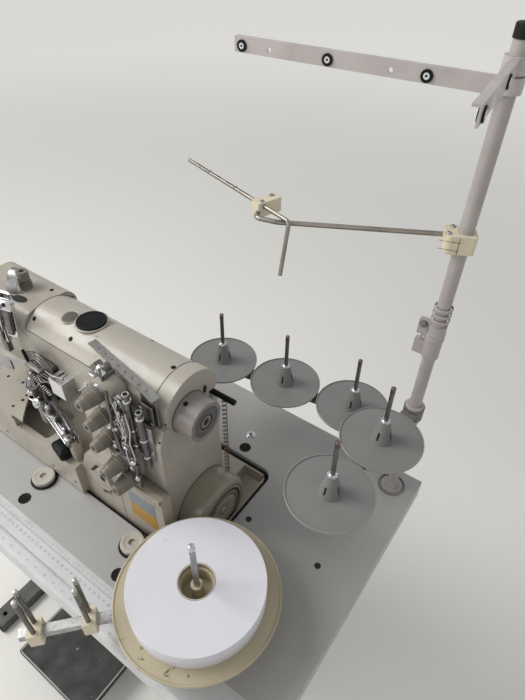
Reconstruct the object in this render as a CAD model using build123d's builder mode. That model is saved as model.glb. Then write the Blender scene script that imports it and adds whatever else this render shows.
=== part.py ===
from build123d import *
from math import cos, degrees, atan2, hypot, radians, sin
import os

os.makedirs("parts", exist_ok=True)

# Coverstitch sewing machine on a table stand, with thread stand and tape reel.
# Units are millimetres. The origin is on the floor, at the centre of the four
# floor holes in the foot rails. +X runs along the machine arm towards the
# motor, +Y points away from the operator and +Z is up.

# Table top
table_length = 1060
table_depth = 495
table_thickness = 40
table_height = 760
table_nose = 12
table_corner = 5
cutout_from_right = 218
cutout_from_back = 137
cutout_length = 582
cutout_depth = 215
cutout_radius = 20
plug_radius = 10.5
plug_depth = 1.2
plug_offsets = [(-524, -421), (-302, -421), (-292, -120)]
small_hole_offset = (-199, -234)
small_hole_radius = 4

# Stand
frame_spacing = 600
rail_length = 560
rail_width = 50
rail_height = 30
upright_width = 60
upright_depth = 30
head_plate_thickness = 4
head_plate_length = 360
head_plate_width = 92
tube_wall = 2.5
floor_hole_radius = 5.5
floor_hole_spacing = 500
crossbar_height = 230
crossbar_section = 40
hanger_thickness = 4
hanger_width = 26
hanger_play = 3
treadle_width = 246
treadle_depth = 250
treadle_thickness = 6
treadle_rim = 8
treadle_rim_depth = 7
treadle_centre_x = -47
treadle_front_y = -289
treadle_height = 62
treadle_pivot_from_front = 165
treadle_pin_radius = 5
treadle_pin_length = 15
treadle_ear_radius = 10
treadle_ear_length = 10

# Cushions in front of the cut-out
cushion_offsets = [(-529, -377.3), (-318, -375)]
cushion_radius = 18.5
cushion_ring = 4
cushion_top_radius = 17
cushion_top = 10
cushion_hole = 5.5

# Bed and its base tray, heights from the table surface
column_gap = 57
column_width = 155
bed_overhang = 6
bed_length = 515
bed_back_gap = 23
bed_bottom = 4
bed_top = 100
bed_low_top = 72
bed_low_length = 170
bed_wall = 12
slope_length = 40
tray_edge = 7.5
tray_bottom = -40
tray_top = -6
tray_pocket_floor = -31
tray_pocket_wall = 3
recess_left_overlap = 30
recess_length = 66
recess_depth = 60
recess_floor = 50
looper_floor = 50
looper_right_wall = 5
base_front_gap = 7
casting_wall = 10
casting_floor = 40
shaft_web = 50
spool_boss_radius = 23
spool_boss_height = 78
spool_boss_from_column = 33
spool_boss_proud = 6
side_pocket_width = 23
side_pocket_height = 30
side_pocket_middle = 43
side_pocket_depth = 8
cloth_plate_thickness = 4
cloth_plate_nose = 30
needle_plate_length = 44
needle_plate_depth = 50
needle_plate_shift = -8
needle_plate_thickness = 2.5
needle_plate_ledge = 3
needle_slot_length = 10
needle_slot_width = 2.4
feed_slot_length = 26
feed_slot_width = 4.2
feed_slot_pitch = 7.5
feed_tooth_width = 3.4
feed_bar_tail = 12
feed_block_depth = 6
feed_stroke = 1.8
feed_height = 0.4
feed_rod_radius = 4
feed_bar_height = 6.5
feed_bar_drop = 8
feed_block_below = 5
looper_shaft_radius = 5
looper_shaft_drop = 34
looper_blade_length = 26
looper_blade_gap = 2.5
looper_blade_width = 4
looper_blade_thickness = 2.5
looper_tip_drop = 1
looper_top = 88
looper_shift = 20
looper_arm_left = 6
looper_arm_right = 5
looper_arm_lean = 1

# Column and arm, heights from the table surface
column_front = 67
column_back = 50
column_foot = 118
column_slope = 215
arm_axis_from_cutout = 94
arm_half_depth = 47
arm_bottom = 198
arm_seam = 268
arm_crown = 295
cover_length = 262
cover_wall = 4
end_cap_length = 25
end_cap_proud = 1.5
end_cap_bottom = 241
head_length = 146
head_bottom = 168
head_top = 291
head_round = 14
head_top_round = 23
head_front = 47
head_back = 50
end_boss_radius = 31
end_boss_length = 32
end_boss_from_axis = -10
end_boss_height = 240
end_boss_recess = 4
upper_disc_radius = 23
upper_disc_thickness = 3
upper_disc_dish = 12
upper_shaft_radius = 8
upper_shaft_length = 325
shaft_play = 0.05
gap = 0.3

# Motor side
motor_radius = 57
motor_length = 44
motor_edge = 8
motor_height = 27
handwheel_radius = 46
handwheel_width = 10
handwheel_play = 1.4
handwheel_edge = 2
handwheel_groove = 1.5
handwheel_ring = 40
handwheel_ring_width = 2.2
main_shaft_radius = 9
main_shaft_length = 190

# Front cover with its bare plate area
front_cover_left = 87
front_cover_overhang = 5
front_cover_bottom = -6
front_cover_top = 124
front_cover_thickness = 19.7
lip_height = 10
lip_proud = 3
ledge_rise = 34

# Needle and presser parts
needle_from_column = -345
needle_from_axis = -24
presser_from_axis = 5
needle_bar_radius = 3.6
needle_bar_top = 286
needle_clamp_bottom = 148
needle_clamp_height = 14
needle_clamp_radius = 6.5
needle_stroke = 31
needle_pitch = 2.8
needle_radius = 0.7
needle_length = 33
take_up_slot = 9
take_up_height = 262
take_up_thickness = 10
take_up_plate_height = 66
take_up_plate_width = 22
take_up_plate_thickness = 2.5
presser_bar_radius = 4
presser_bar_bottom = 120
presser_bar_top = 272
presser_shank_radius = 8
presser_foot_width = 24
presser_foot_thickness = 3
presser_foot_front = 18
toe_gap_width = 12
toe_gap_back = 3
toe_gap_length = 21.5
presser_lift = 6
knob_stem_radius = 7
knob_stem_depth = 12
knob_base_radius = 10
knob_neck_radius = 6.5
knob_head_radius = 9
knob_height = 30
knob_base_height = 7
knob_neck_height = 8
knob_hole_radius = 3.5
knob_hole_depth = 4
leaf_spring_thickness = 1.5

# Thread tensions on the column front
tension_from_column = -91
tension_shifts = [-4, 0, 1, 27, 43]
tension_heights = [272, 234, 192, 165, 141]
upper_tensions = 3
tension_pad_front = 332
pad_depth = 7
pad_width = 46
pad_bottom = 172
pad_top = 289
low_pad_proud = 18
low_pad_left = 82
low_pad_width = 40
low_pad_bottom = 127
low_pad_top = 178
tension_post_radius = 3
tension_post_length = 26
tension_disc_radius = 13.8
tension_disc_thickness = 3
tension_knob_radius = 13.5
tension_knob_tip = 7.5
tension_knob_length = 30
tension_knob_bore = 24

# Thread guides on the head
strip_width = 13
strip_thickness = 1.5
strip_below_crown = 2
strip_from_cover = (129, -25)
strip_from_column = (-8, -54)
strip_foot_radius = 3
strip_foot_length = 3.5
strip_bracket_width = 26
strip_bracket_foot = 5
guide_tube_radius = 4.5
guide_tube_bore = 3
guide_tube_shifts = [-42, -23]
guide_tube_bottoms = [197, 169]
guide_tube_tops = [299, 278]
guide_tube_proud = 5
tube_clip_bottom = 199
tube_clip_height = 12
guard_box_left = -225
guard_box_length = 30
guard_box_depth = 21
guard_box_bottom = 188
guard_box_height = 30
guard_box_wall = 2
eye_guard_from_head = 4
eye_guard_height = 200
eye_guard_post_radius = 3
eye_guard_lug = 14
eye_guard_reach = 74
eye_guard_strip = 9
eye_guard_plate_height = 26

# Presser lifter at the back of the column
lifter_height = 234.5
lifter_from_axis = 43
lifter_reach = 52
lifter_hub_radius = 5.5
lifter_hub_length = 12
lifter_rod_radius = 2.6
lifter_sleeve_radius = 4.4
lifter_sleeve_length = 43
lifter_notch_height = 14
lifter_notch_length = 24
lifter_notch_depth = 16
lifter_pin_radius = 2.5
spring_radius = 3.2
spring_wire = 0.7
spring_from_column = 19
spring_bottom = 68
spring_turns = 18
spring_peg_radius = 3

# Oil cap
oil_cap_from_cover = 97
oil_cap_radius = 22
oil_cap_height = 3.5
oil_cap_seat = 23.5
oil_cap_neck = 18.8
oil_cap_neck_depth = 10

# Thread stand
pole_from_right = 41
pole_from_back = 36
pole_radius = 8.75
pole_wall = 1.5
pole_joint = 325
pole_top = 683.5
pole_cap_height = 4.5
pole_cap_skirt = 8
pole_cap_wall = 1.2
foot_washer_radius = 17
foot_washer_thickness = 3
foot_nut_radius = 12.5
foot_nut_height = 9
pole_stud_radius = 6
pole_stud_end = 24
joint_clamp_length = 54
joint_clamp_radius = 11.4
joint_ear_length = 15
joint_ear_width = 9
disc_radius = 57.5
disc_thickness = 2
disc_height = 150
disc_level_gap = 52
disc_first = 91
disc_pitch = 118
high_disc_pitch = 117
cone_base_radius = 15
cone_top_radius = 7
cone_height = 36
spindle_radius = 3.1
spindle_above_disc = 98
spindle_nut_radius = 6.5
spindle_nut_height = 4
carrier_width = 20
carrier_thickness = 6
carrier_drop = 7
carrier_hub_radius = 15
low_hub_below = 18
low_hub_above = 4
low_carrier_angle = 188.5
high_carrier_angle = 262.9
swivel_play = 0.1

# Guide rods
rod_clamp_height = 462
rod_clamp_thickness = 22
rod_clamp_width = 34
rod_clamp_depth = 30
rod_clamp_corner = 5
guide_rod_radius = 3
guide_rod_angle = 208.8
guide_rod_places = [(-59, -32), (-235, -128), (-263, -134), (-272, -108)]
guide_rod_bend_radius = 8
cross_block_place = (-267, -104)
cross_block_length = 36
cross_block_width = 16
cross_block_below = 6
cross_block_height = 18
slotted_rod_radius = 2.6
slotted_rod_place = (-217, -130)
slotted_rod_angle = 162.3
slotted_rod_length = 223
slotted_rod_rise = 7
slotted_rod_bend_radius = 5
slot_width = 2
slot_from_tip = 82
slot_length_outer = 62
slot_from_tip_inner = 145
slot_length_inner = 52
slotted_leg = 70
slotted_leg_tilt = 8.4
slotted_leg_heading = 252.4

# Top arms
left_arm_top = 645
front_arm_top = 662
left_arm_angle = 183.3
front_arm_angle = 276.3
left_arm_length = 303
front_arm_length = 168
arm_web = 16
arm_flange = 8
arm_sheet = 2
left_arm_offset = 12
front_arm_offset = 4
eyelet_first = 75.7
front_eyelet_first = 58.3
eyelet_pitch = 108.5
front_eyelet_pitch = 98.1
eyelet_radius = 6.2
eyelet_hole = 2.4
eyelet_barrel = 4.2
eyelet_flange = 1.6
eyelet_drop = 1
plain_hole_radius = 2.6
plain_hole_outer = 36
plain_hole_inner = 38
plain_hole_front = 48
arm_hub_radius = 12.5
arm_hub_height = 15

# Tape reel
reel_from_right = 166
reel_from_back = 392
reel_foot_radius = 24
reel_foot_thickness = 4
reel_post_radius = 8
reel_bar_section = 12
reel_bar_height = 44
reel_bar_length = 229
reel_bar_angle = 227.8
reel_collar_radius = 12
reel_collar_height = 4
reel_spindle_radius = 4
reel_spindle_top = 186
reel_plate_radius = 111.5
reel_plate_height = 62
reel_plate_thickness = 4
reel_hub_radius = 20.5
reel_hub_height = 24
tape_radius = 91.3
tape_core_radius = 26
tape_core_wall = 2.5
tape_width = 32
clamp_places = [141, 208]
clamp_length = 18
clamp_width = 26
clamp_bottom = 39
clamp_height = 26
clamp_pin_radius = 3
clamp_pin_spread = 13
clamp_pin_top = 150

# Places worked out from the sizes above
right = table_length / 2
back = table_depth / 2
top = table_height
underside = top - table_thickness
plug_places = [(right + x, back + y) for x, y in plug_offsets]
small_hole_place = (right + small_hole_offset[0], back + small_hole_offset[1])
cushion_places = [(right + x, back + y) for x, y in cushion_offsets]
cut_right = right - cutout_from_right
cut_left = cut_right - cutout_length
cut_back = back - cutout_from_back
cut_front = cut_back - cutout_depth
cut_x = (cut_left + cut_right) / 2
cut_y = (cut_front + cut_back) / 2
column_right = cut_right - column_gap
column_left = column_right - column_width
axis_y = cut_front + arm_axis_from_cutout
arm_front = axis_y - arm_half_depth
arm_back = axis_y + arm_half_depth
front_y = axis_y - column_front
back_y = axis_y + column_back
cap_left = column_right - end_cap_length
cover_left = cap_left - cover_length
head_left = cover_left - head_length
bed_front = cut_front - bed_overhang
bed_back = cut_back - bed_back_gap
bed_left = column_right - bed_length
low_right = column_left - slope_length / 2
plate_right = column_left - bed_low_length
base_front = cut_front + base_front_gap
needle_x = column_right + needle_from_column
needle_y = axis_y + needle_from_axis
looper_x = needle_x - looper_shift
presser_y = axis_y + presser_from_axis
plate_top = top + bed_top + cloth_plate_thickness
boss_y = axis_y + end_boss_from_axis
boss_z = top + end_boss_height
boss_end = column_right + end_boss_length
motor_z = top + motor_height
motor_end = column_right + motor_length
motor_recess = handwheel_width + gap
tension_x = column_right + tension_from_column
pad_front = front_y - pad_depth
low_pad_front = front_y - low_pad_proud
strip_height = arm_crown - strip_below_crown
strip_left = (cover_left + strip_from_cover[0], axis_y + strip_from_cover[1])
strip_right = (column_right + strip_from_column[0], axis_y + strip_from_column[1])
guard_x = cover_left - eye_guard_from_head
guard_y = axis_y - head_front - 8
guard_z = top + eye_guard_height
oil_cap_x = cover_left + oil_cap_from_cover
oil_cap_y = axis_y + 3
lifter_x = column_right - lifter_notch_length / 2 - 2
lifter_y = axis_y + lifter_from_axis
lifter_z = top + lifter_height
spring_x = column_right + spring_from_column
pole_x = right - pole_from_right
pole_y = back - pole_from_back
reel_x = right - reel_from_right
reel_y = back - reel_from_back
pivot_y = treadle_front_y + treadle_pivot_from_front
pivot_z = treadle_height - treadle_ear_radius - 1


def level(x, y, z, angle=0.0):
    """A level plane at (x, y, z) whose own X axis points along angle."""
    heading = (cos(radians(angle)), sin(radians(angle)), 0)
    return Plane(origin=(x, y, z), x_dir=heading, z_dir=(0, 0, 1))


def facing_front(y):
    """An upright plane at y, seen from the front: its own X is +X and its Y is up."""
    return Plane.XZ.offset(-y)


def facing_right(x):
    """An upright plane at x, seen from the right: its own X is +Y and its Y is up."""
    return Plane.YZ.offset(x)


# Table top with its cut-out, plug seats, pole hole and rounded front
with BuildPart() as table_top:
    with BuildSketch(level(0, 0, underside)):
        Rectangle(table_length, table_depth)
        with Locations((cut_x, cut_y)):
            RectangleRounded(cutout_length, cutout_depth, cutout_radius, mode=Mode.SUBTRACT)
    extrude(amount=table_thickness)
    nose = table_top.edges().filter_by(Axis.X).group_by(Axis.Y)[0].sort_by(Axis.Z)[-1]
    fillet(nose, radius=table_nose)
    with BuildSketch(level(0, 0, top)):
        with Locations(*plug_places):
            Circle(plug_radius)
    extrude(amount=-plug_depth, mode=Mode.SUBTRACT)
    with BuildSketch(level(0, 0, top)):
        with Locations(small_hole_place):
            Circle(small_hole_radius)
        with Locations((pole_x, pole_y)):
            Circle(pole_stud_radius + gap)
    extrude(amount=-table_thickness, mode=Mode.SUBTRACT)

# Welded stand: two side frames, the cross bar and the treadle hangers
crossbar_length = frame_spacing - upright_depth
hanger_shift = treadle_width / 2 + hanger_thickness / 2 + hanger_play
with BuildPart() as stand_frame:
    for centre_x in (-frame_spacing / 2, frame_spacing / 2):
        with BuildSketch(facing_front(-rail_length / 2)):
            with Locations((centre_x, rail_height / 2)):
                RectangleRounded(rail_width, rail_height, 4)
                Rectangle(
                    rail_width - 2 * tube_wall,
                    rail_height - 2 * tube_wall,
                    mode=Mode.SUBTRACT,
                )
        extrude(amount=-rail_length)
        with BuildSketch(level(centre_x, 0, rail_height)):
            RectangleRounded(upright_depth, upright_width, 4)
            Rectangle(
                upright_depth - 2 * tube_wall,
                upright_width - 2 * tube_wall,
                mode=Mode.SUBTRACT,
            )
        extrude(amount=underside - head_plate_thickness - rail_height)
        with BuildSketch(level(centre_x, 0, underside - head_plate_thickness)):
            RectangleRounded(head_plate_width, head_plate_length, 6)
        extrude(amount=head_plate_thickness)
        with BuildSketch(level(centre_x, 0, rail_height)):
            with Locations((0, -floor_hole_spacing / 2), (0, floor_hole_spacing / 2)):
                Circle(floor_hole_radius)
        extrude(amount=-rail_height, mode=Mode.SUBTRACT)
    with BuildSketch(facing_right(-crossbar_length / 2)):
        with Locations((0, crossbar_height)):
            RectangleRounded(crossbar_section, crossbar_section, 4)
            Rectangle(
                crossbar_section - 2 * tube_wall,
                crossbar_section - 2 * tube_wall,
                mode=Mode.SUBTRACT,
            )
    extrude(amount=crossbar_length)
    for side in (-1, 1):
        strap_x = treadle_centre_x + side * hanger_shift
        with BuildSketch(facing_right(strap_x - hanger_thickness / 2)):
            with BuildLine():
                Polyline(
                    (-crossbar_section / 2, crossbar_height + 12),
                    (-crossbar_section / 2, crossbar_height - 16),
                    (pivot_y + hanger_width / 2, pivot_z),
                    (pivot_y - hanger_width / 2, pivot_z),
                    (pivot_y - hanger_width / 2, pivot_z + 20),
                    (-crossbar_section / 2 - 14, crossbar_height + 12),
                    close=True,
                )
            make_face()
            with Locations((pivot_y, pivot_z)):
                Circle(hanger_width / 2)
        extrude(amount=hanger_thickness)
        with BuildSketch(facing_right(strap_x)):
            with Locations((pivot_y, pivot_z)):
                Circle(treadle_pin_radius)
        extrude(amount=-side * treadle_pin_length)

# Treadle plate with a rim below and two ears that turn on the pins
with BuildPart() as treadle:
    with BuildSketch(level(treadle_centre_x, treadle_front_y + treadle_depth / 2, treadle_height)):
        RectangleRounded(treadle_width, treadle_depth, 8)
    extrude(amount=treadle_thickness)
    with BuildSketch(level(treadle_centre_x, treadle_front_y + treadle_depth / 2, treadle_height)):
        RectangleRounded(treadle_width, treadle_depth, 8)
        RectangleRounded(
            treadle_width - 2 * treadle_rim,
            treadle_depth - 2 * treadle_rim,
            4,
            mode=Mode.SUBTRACT,
        )
    extrude(amount=-treadle_rim_depth)
    for side in (-1, 1):
        with BuildSketch(facing_right(treadle_centre_x + side * treadle_width / 2)):
            with Locations((pivot_y, pivot_z)):
                Circle(treadle_ear_radius)
            with Locations((pivot_y, (pivot_z + treadle_height) / 2)):
                Rectangle(2 * treadle_ear_radius, treadle_height - pivot_z)
        extrude(amount=-side * treadle_ear_length)
    with BuildSketch(facing_right(treadle_centre_x - treadle_width / 2)):
        with Locations((pivot_y, pivot_z)):
            Circle(treadle_pin_radius + shaft_play)
    extrude(amount=treadle_width, mode=Mode.SUBTRACT)

# Cushions: soft discs in rubber rings, with a screw seat in each
with BuildPart() as bed_cushions:
    with BuildSketch(level(0, 0, top)):
        with Locations(*cushion_places):
            Circle(cushion_radius)
    extrude(amount=cushion_ring)
    with BuildSketch(level(0, 0, top)):
        with Locations(*cushion_places):
            Circle(cushion_top_radius)
    extrude(amount=cushion_top)
    with BuildSketch(level(0, 0, top + cushion_top)):
        with Locations(*cushion_places):
            Circle(cushion_hole)
    extrude(amount=-cushion_ring, mode=Mode.SUBTRACT)

# Bed and base tray, one casting
tray_length = cutout_length - 2 * tray_edge
tray_depth = cutout_depth - 2 * tray_edge
looper_left = bed_left + bed_wall
looper_length = plate_right - looper_right_wall - looper_left
looper_front = bed_front + bed_wall
looper_depth = bed_back - bed_front - 2 * bed_wall
feed_rod_z = top + looper_floor + looper_shaft_drop
looper_z = top + looper_floor + looper_shaft_radius + 6
with BuildPart() as bed_casting:
    with BuildSketch(level(cut_x, cut_y, top + tray_bottom)):
        RectangleRounded(tray_length, tray_depth, cutout_radius - tray_edge)
    extrude(amount=tray_top - tray_bottom)
    with BuildSketch(facing_front(bed_front)):
        with BuildLine():
            Polyline(
                (bed_left, top + bed_bottom),
                (low_right, top + bed_bottom),
                (low_right, top + bed_low_top),
                (plate_right, top + bed_low_top),
                (plate_right, top + bed_top),
                (bed_left, top + bed_top),
                close=True,
            )
        make_face()
    extrude(amount=bed_front - bed_back)
    with BuildSketch(level((bed_left + column_left) / 2, (base_front + bed_back) / 2, top + tray_top)):
        Rectangle(column_left - bed_left - 16, bed_back - base_front)
    extrude(amount=bed_bottom - tray_top)
    # Foot of the column, stepped back behind the front cover
    with BuildSketch(level(0, 0, top + tray_top)):
        with BuildLine():
            Polyline(
                (low_right - 1, base_front),
                (column_right - front_cover_left, base_front),
                (column_right - front_cover_left, front_y),
                (column_right, front_y),
                (column_right, back_y + 3),
                (low_right - 1, back_y + 3),
                close=True,
            )
        make_face()
    extrude(amount=column_foot - tray_top)
    # Cut back the foot's left end to a slope that meets the low bed
    with BuildSketch(facing_front(base_front - 1)):
        with BuildLine():
            Polyline(
                (low_right - 2, top + bed_low_top),
                (low_right + 4, top + bed_low_top),
                (column_left - 2, top + column_foot - 8),
                (column_left + 6, top + column_foot),
                (column_left + 6, top + column_foot + 4),
                (low_right - 2, top + column_foot + 4),
                close=True,
            )
        make_face()
    extrude(amount=-(back_y + 6 - base_front), mode=Mode.SUBTRACT)
    # Recess beside the cloth plate, and the looper room under it
    with BuildSketch(level(plate_right - recess_left_overlap, bed_front + bed_wall, top + recess_floor)):
        with Locations(((recess_length + recess_left_overlap) / 2, recess_depth / 2)):
            RectangleRounded(recess_length + recess_left_overlap, recess_depth, 8)
    extrude(amount=bed_top, mode=Mode.SUBTRACT)
    with BuildSketch(level(looper_left, looper_front, top + looper_floor)):
        with Locations((looper_length / 2, looper_depth / 2)):
            RectangleRounded(looper_length, looper_depth, 8)
    extrude(amount=bed_top, mode=Mode.SUBTRACT)
    # Pocket in the tray for the motor housing
    pocket_length = cut_right - tray_edge - tray_pocket_wall - column_right - tray_pocket_wall
    with BuildSketch(level(column_right, cut_y, top + tray_pocket_floor)):
        with Locations((tray_pocket_wall + pocket_length / 2, 0)):
            Rectangle(pocket_length, tray_depth - 2 * tray_pocket_wall)
    extrude(amount=-tray_pocket_floor, mode=Mode.SUBTRACT)
    with BuildSketch(facing_right(column_right)):
        with Locations((axis_y, motor_z)):
            Circle(motor_radius + gap)
    extrude(amount=tray_pocket_wall + gap, mode=Mode.SUBTRACT)
    # Hollow underside: one room under the bed and one under the column
    with BuildSketch(level(0, 0, top + tray_bottom)):
        with BuildLine():
            Polyline(
                (bed_left + casting_wall, base_front + casting_wall),
                (column_left - shaft_web + casting_wall, base_front + casting_wall),
                (column_left - shaft_web + casting_wall, bed_back - casting_wall),
                (bed_left + casting_wall, bed_back - casting_wall),
                close=True,
            )
        make_face()
    extrude(amount=casting_floor - tray_bottom, mode=Mode.SUBTRACT)
    with BuildSketch(level(0, 0, top + tray_bottom)):
        with BuildLine():
            Polyline(
                (column_left + casting_wall, front_y + casting_wall),
                (column_right - casting_wall, front_y + casting_wall),
                (column_right - casting_wall, back_y - casting_wall),
                (column_left + casting_wall, back_y - casting_wall),
                close=True,
            )
        make_face()
    extrude(amount=column_foot - casting_wall - tray_bottom, mode=Mode.SUBTRACT)
    # Bores: main shaft, looper shaft and feed rod
    with BuildSketch(facing_right(column_right)):
        with Locations((axis_y, motor_z)):
            Circle(main_shaft_radius + shaft_play)
    extrude(amount=-main_shaft_length, mode=Mode.SUBTRACT)
    with BuildSketch(facing_front(bed_front + bed_wall / 2)):
        with Locations((looper_x, looper_z)):
            Circle(looper_shaft_radius + shaft_play)
    extrude(amount=bed_front - bed_back + bed_wall, mode=Mode.SUBTRACT)
    with BuildSketch(facing_front(bed_back - bed_wall - 1)):
        with Locations((needle_x, feed_rod_z)):
            Circle(feed_rod_radius + shaft_play)
    extrude(amount=-bed_wall, mode=Mode.SUBTRACT)
    # Round boss and dark pocket on the wall beside the front cover
    boss_x = column_left + spool_boss_from_column
    with BuildSketch(facing_front(base_front)):
        with Locations((boss_x, top + spool_boss_height)):
            Circle(spool_boss_radius)
    extrude(amount=spool_boss_proud)
    with BuildSketch(facing_front(base_front)):
        with Locations((boss_x, top + side_pocket_middle)):
            Rectangle(side_pocket_width, side_pocket_height)
    extrude(amount=-side_pocket_depth, mode=Mode.SUBTRACT)

# Column, arm and needle head, one casting
with BuildPart() as arm_casting:
    with BuildSketch(facing_right(column_left)):
        with BuildLine():
            Polyline(
                (front_y, top + column_foot),
                (back_y, top + column_foot),
                (back_y, top + end_cap_bottom - 6),
                (arm_back, top + end_cap_bottom),
                (arm_front - 10, top + end_cap_bottom),
                (front_y, top + column_slope),
                close=True,
            )
        make_face()
    extrude(amount=column_width)
    with BuildSketch(facing_right(cover_left)):
        with BuildLine():
            Polyline(
                (arm_front, top + arm_bottom),
                (arm_back, top + arm_bottom),
                (arm_back, top + arm_seam),
                (arm_front, top + arm_seam),
                close=True,
            )
        make_face()
    extrude(amount=cover_length)
    with BuildSketch(facing_right(head_left)) as head_outline:
        with Locations((axis_y + (head_back - head_front) / 2, top + (head_bottom + head_top) / 2)):
            Rectangle(head_front + head_back, head_top - head_bottom)
        fillet(head_outline.vertices().group_by(Axis.Y)[0], radius=head_round)
        fillet(head_outline.vertices().group_by(Axis.Y)[-1], radius=head_top_round)
    extrude(amount=head_length)
    # Pad of the upper thread tensions, and the lower one above the front cover
    with BuildSketch(facing_front(pad_front)):
        with Locations((tension_x - 2, top + (pad_bottom + pad_top) / 2)):
            RectangleRounded(pad_width, pad_top - pad_bottom, pad_width / 2 - 1)
    extrude(amount=pad_front - arm_front)
    with BuildSketch(facing_front(low_pad_front)):
        with Locations(
            (column_right - low_pad_left + low_pad_width / 2, top + (low_pad_bottom + low_pad_top) / 2)
        ):
            RectangleRounded(low_pad_width, low_pad_top - low_pad_bottom, 10)
    extrude(amount=low_pad_front - front_y - 4)
    # Lug and pin of the eye guard
    with BuildSketch(level(guard_x, arm_front, guard_z - 6 - gap)):
        with Locations((0, -eye_guard_lug / 2 + 1)):
            Rectangle(10, eye_guard_lug + 2)
    extrude(amount=-5)
    with BuildSketch(level(guard_x, guard_y, guard_z - 6 - gap)):
        Circle(eye_guard_post_radius)
    extrude(amount=14)
    # Bores for the needle bar, presser bar and pressure knob, and the take-up slot
    with BuildSketch(level(0, 0, top + head_top)):
        with Locations((needle_x, needle_y)):
            Circle(needle_bar_radius + shaft_play)
        with Locations((needle_x, presser_y)):
            Circle(presser_bar_radius + shaft_play)
    extrude(amount=head_bottom - head_top, mode=Mode.SUBTRACT)
    with BuildSketch(level(needle_x, presser_y, top + head_top)):
        Circle(knob_stem_radius + shaft_play)
    extrude(amount=-knob_stem_depth - 1, mode=Mode.SUBTRACT)
    slot_bottom = take_up_height - needle_stroke - gap
    slot_height = take_up_thickness + needle_stroke + 2 * gap
    with BuildSketch(facing_front(axis_y - head_front - 1)):
        with Locations((needle_x, top + slot_bottom + slot_height / 2)):
            Rectangle(take_up_slot + 2 * gap, slot_height)
    extrude(amount=-(needle_y - axis_y + head_front + 1 + take_up_slot / 2 + gap), mode=Mode.SUBTRACT)
    # Hollow arm and column under the cover, and two hollows in the head from below
    with BuildSketch(level(0, 0, top + arm_seam)):
        with BuildLine():
            Polyline(
                (cover_left + casting_wall, arm_front + casting_wall),
                (cap_left - casting_wall, arm_front + casting_wall),
                (cap_left - casting_wall, arm_back - casting_wall),
                (cover_left + casting_wall, arm_back - casting_wall),
                close=True,
            )
        make_face()
    extrude(amount=arm_bottom + casting_wall - arm_seam, mode=Mode.SUBTRACT)
    with BuildSketch(level(0, 0, top + arm_seam)):
        with BuildLine():
            Polyline(
                (column_left + casting_wall, arm_front + casting_wall),
                (cap_left - casting_wall, arm_front + casting_wall),
                (cap_left - casting_wall, arm_back - casting_wall),
                (column_left + casting_wall, arm_back - casting_wall),
                close=True,
            )
        make_face()
    extrude(amount=column_foot + casting_wall - arm_seam, mode=Mode.SUBTRACT)
    head_room = head_front + head_back - 2 * casting_wall
    head_mid = axis_y + (head_back - head_front) / 2
    for room_left, room_right in (
        (head_left + casting_wall, needle_x - 2 * casting_wall),
        (needle_x + 2 * casting_wall, cover_left - casting_wall),
    ):
        with BuildSketch(level((room_left + room_right) / 2, head_mid, top + head_bottom)):
            Rectangle(room_right - room_left, head_room)
        extrude(amount=head_top - head_bottom - casting_wall, mode=Mode.SUBTRACT)
    # Bore of the upper shaft and notch of the lifter, with its pin left standing
    with BuildSketch(facing_right(column_right)):
        with Locations((boss_y, boss_z)):
            Circle(upper_shaft_radius + shaft_play)
    extrude(amount=-upper_shaft_length - 1, mode=Mode.SUBTRACT)
    with BuildSketch(facing_front(back_y)):
        with Locations((column_right - lifter_notch_length / 2, lifter_z - 1)):
            Rectangle(lifter_notch_length, lifter_notch_height + 4)
        with Locations((lifter_x, lifter_z)):
            Circle(lifter_pin_radius, mode=Mode.SUBTRACT)
    extrude(amount=lifter_notch_depth, mode=Mode.SUBTRACT)

# Rounded cover over the arm
with BuildPart() as arm_top_cover:
    with BuildSketch(facing_right(cover_left)):
        with BuildLine():
            ThreePointArc(
                (arm_front, top + arm_seam),
                (axis_y, top + arm_crown),
                (arm_back, top + arm_seam),
            )
            Line((arm_back, top + arm_seam), (arm_front, top + arm_seam))
        make_face()
        with BuildLine():
            ThreePointArc(
                (arm_front + cover_wall, top + arm_seam),
                (axis_y, top + arm_crown - cover_wall),
                (arm_back - cover_wall, top + arm_seam),
            )
            Line((arm_back - cover_wall, top + arm_seam), (arm_front + cover_wall, top + arm_seam))
        make_face(mode=Mode.SUBTRACT)
    extrude(amount=cover_length)
    with BuildSketch(level(oil_cap_x, oil_cap_y, top + arm_crown + gap)):
        Circle(oil_cap_seat)
    extrude(amount=-oil_cap_neck_depth)
    with BuildSketch(level(oil_cap_x, oil_cap_y, top + arm_crown + gap)):
        Circle(oil_cap_neck)
    extrude(amount=-oil_cap_neck_depth, mode=Mode.SUBTRACT)

# Thick cap at the motor end of the arm
with BuildPart() as arm_end_cap:
    with BuildSketch(facing_right(cap_left)):
        with BuildLine():
            Polyline(
                (arm_front - end_cap_proud, top + arm_seam),
                (arm_front - end_cap_proud, top + end_cap_bottom),
                (arm_back + end_cap_proud, top + end_cap_bottom),
                (arm_back + end_cap_proud, top + arm_seam),
            )
            ThreePointArc(
                (arm_back + end_cap_proud, top + arm_seam),
                (axis_y, top + arm_crown + end_cap_proud),
                (arm_front - end_cap_proud, top + arm_seam),
            )
        make_face()
    extrude(amount=end_cap_length)
    with BuildSketch(facing_right(cap_left)):
        with Locations((boss_y, boss_z)):
            Circle(upper_shaft_radius + shaft_play)
    extrude(amount=end_cap_length, mode=Mode.SUBTRACT)

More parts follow.
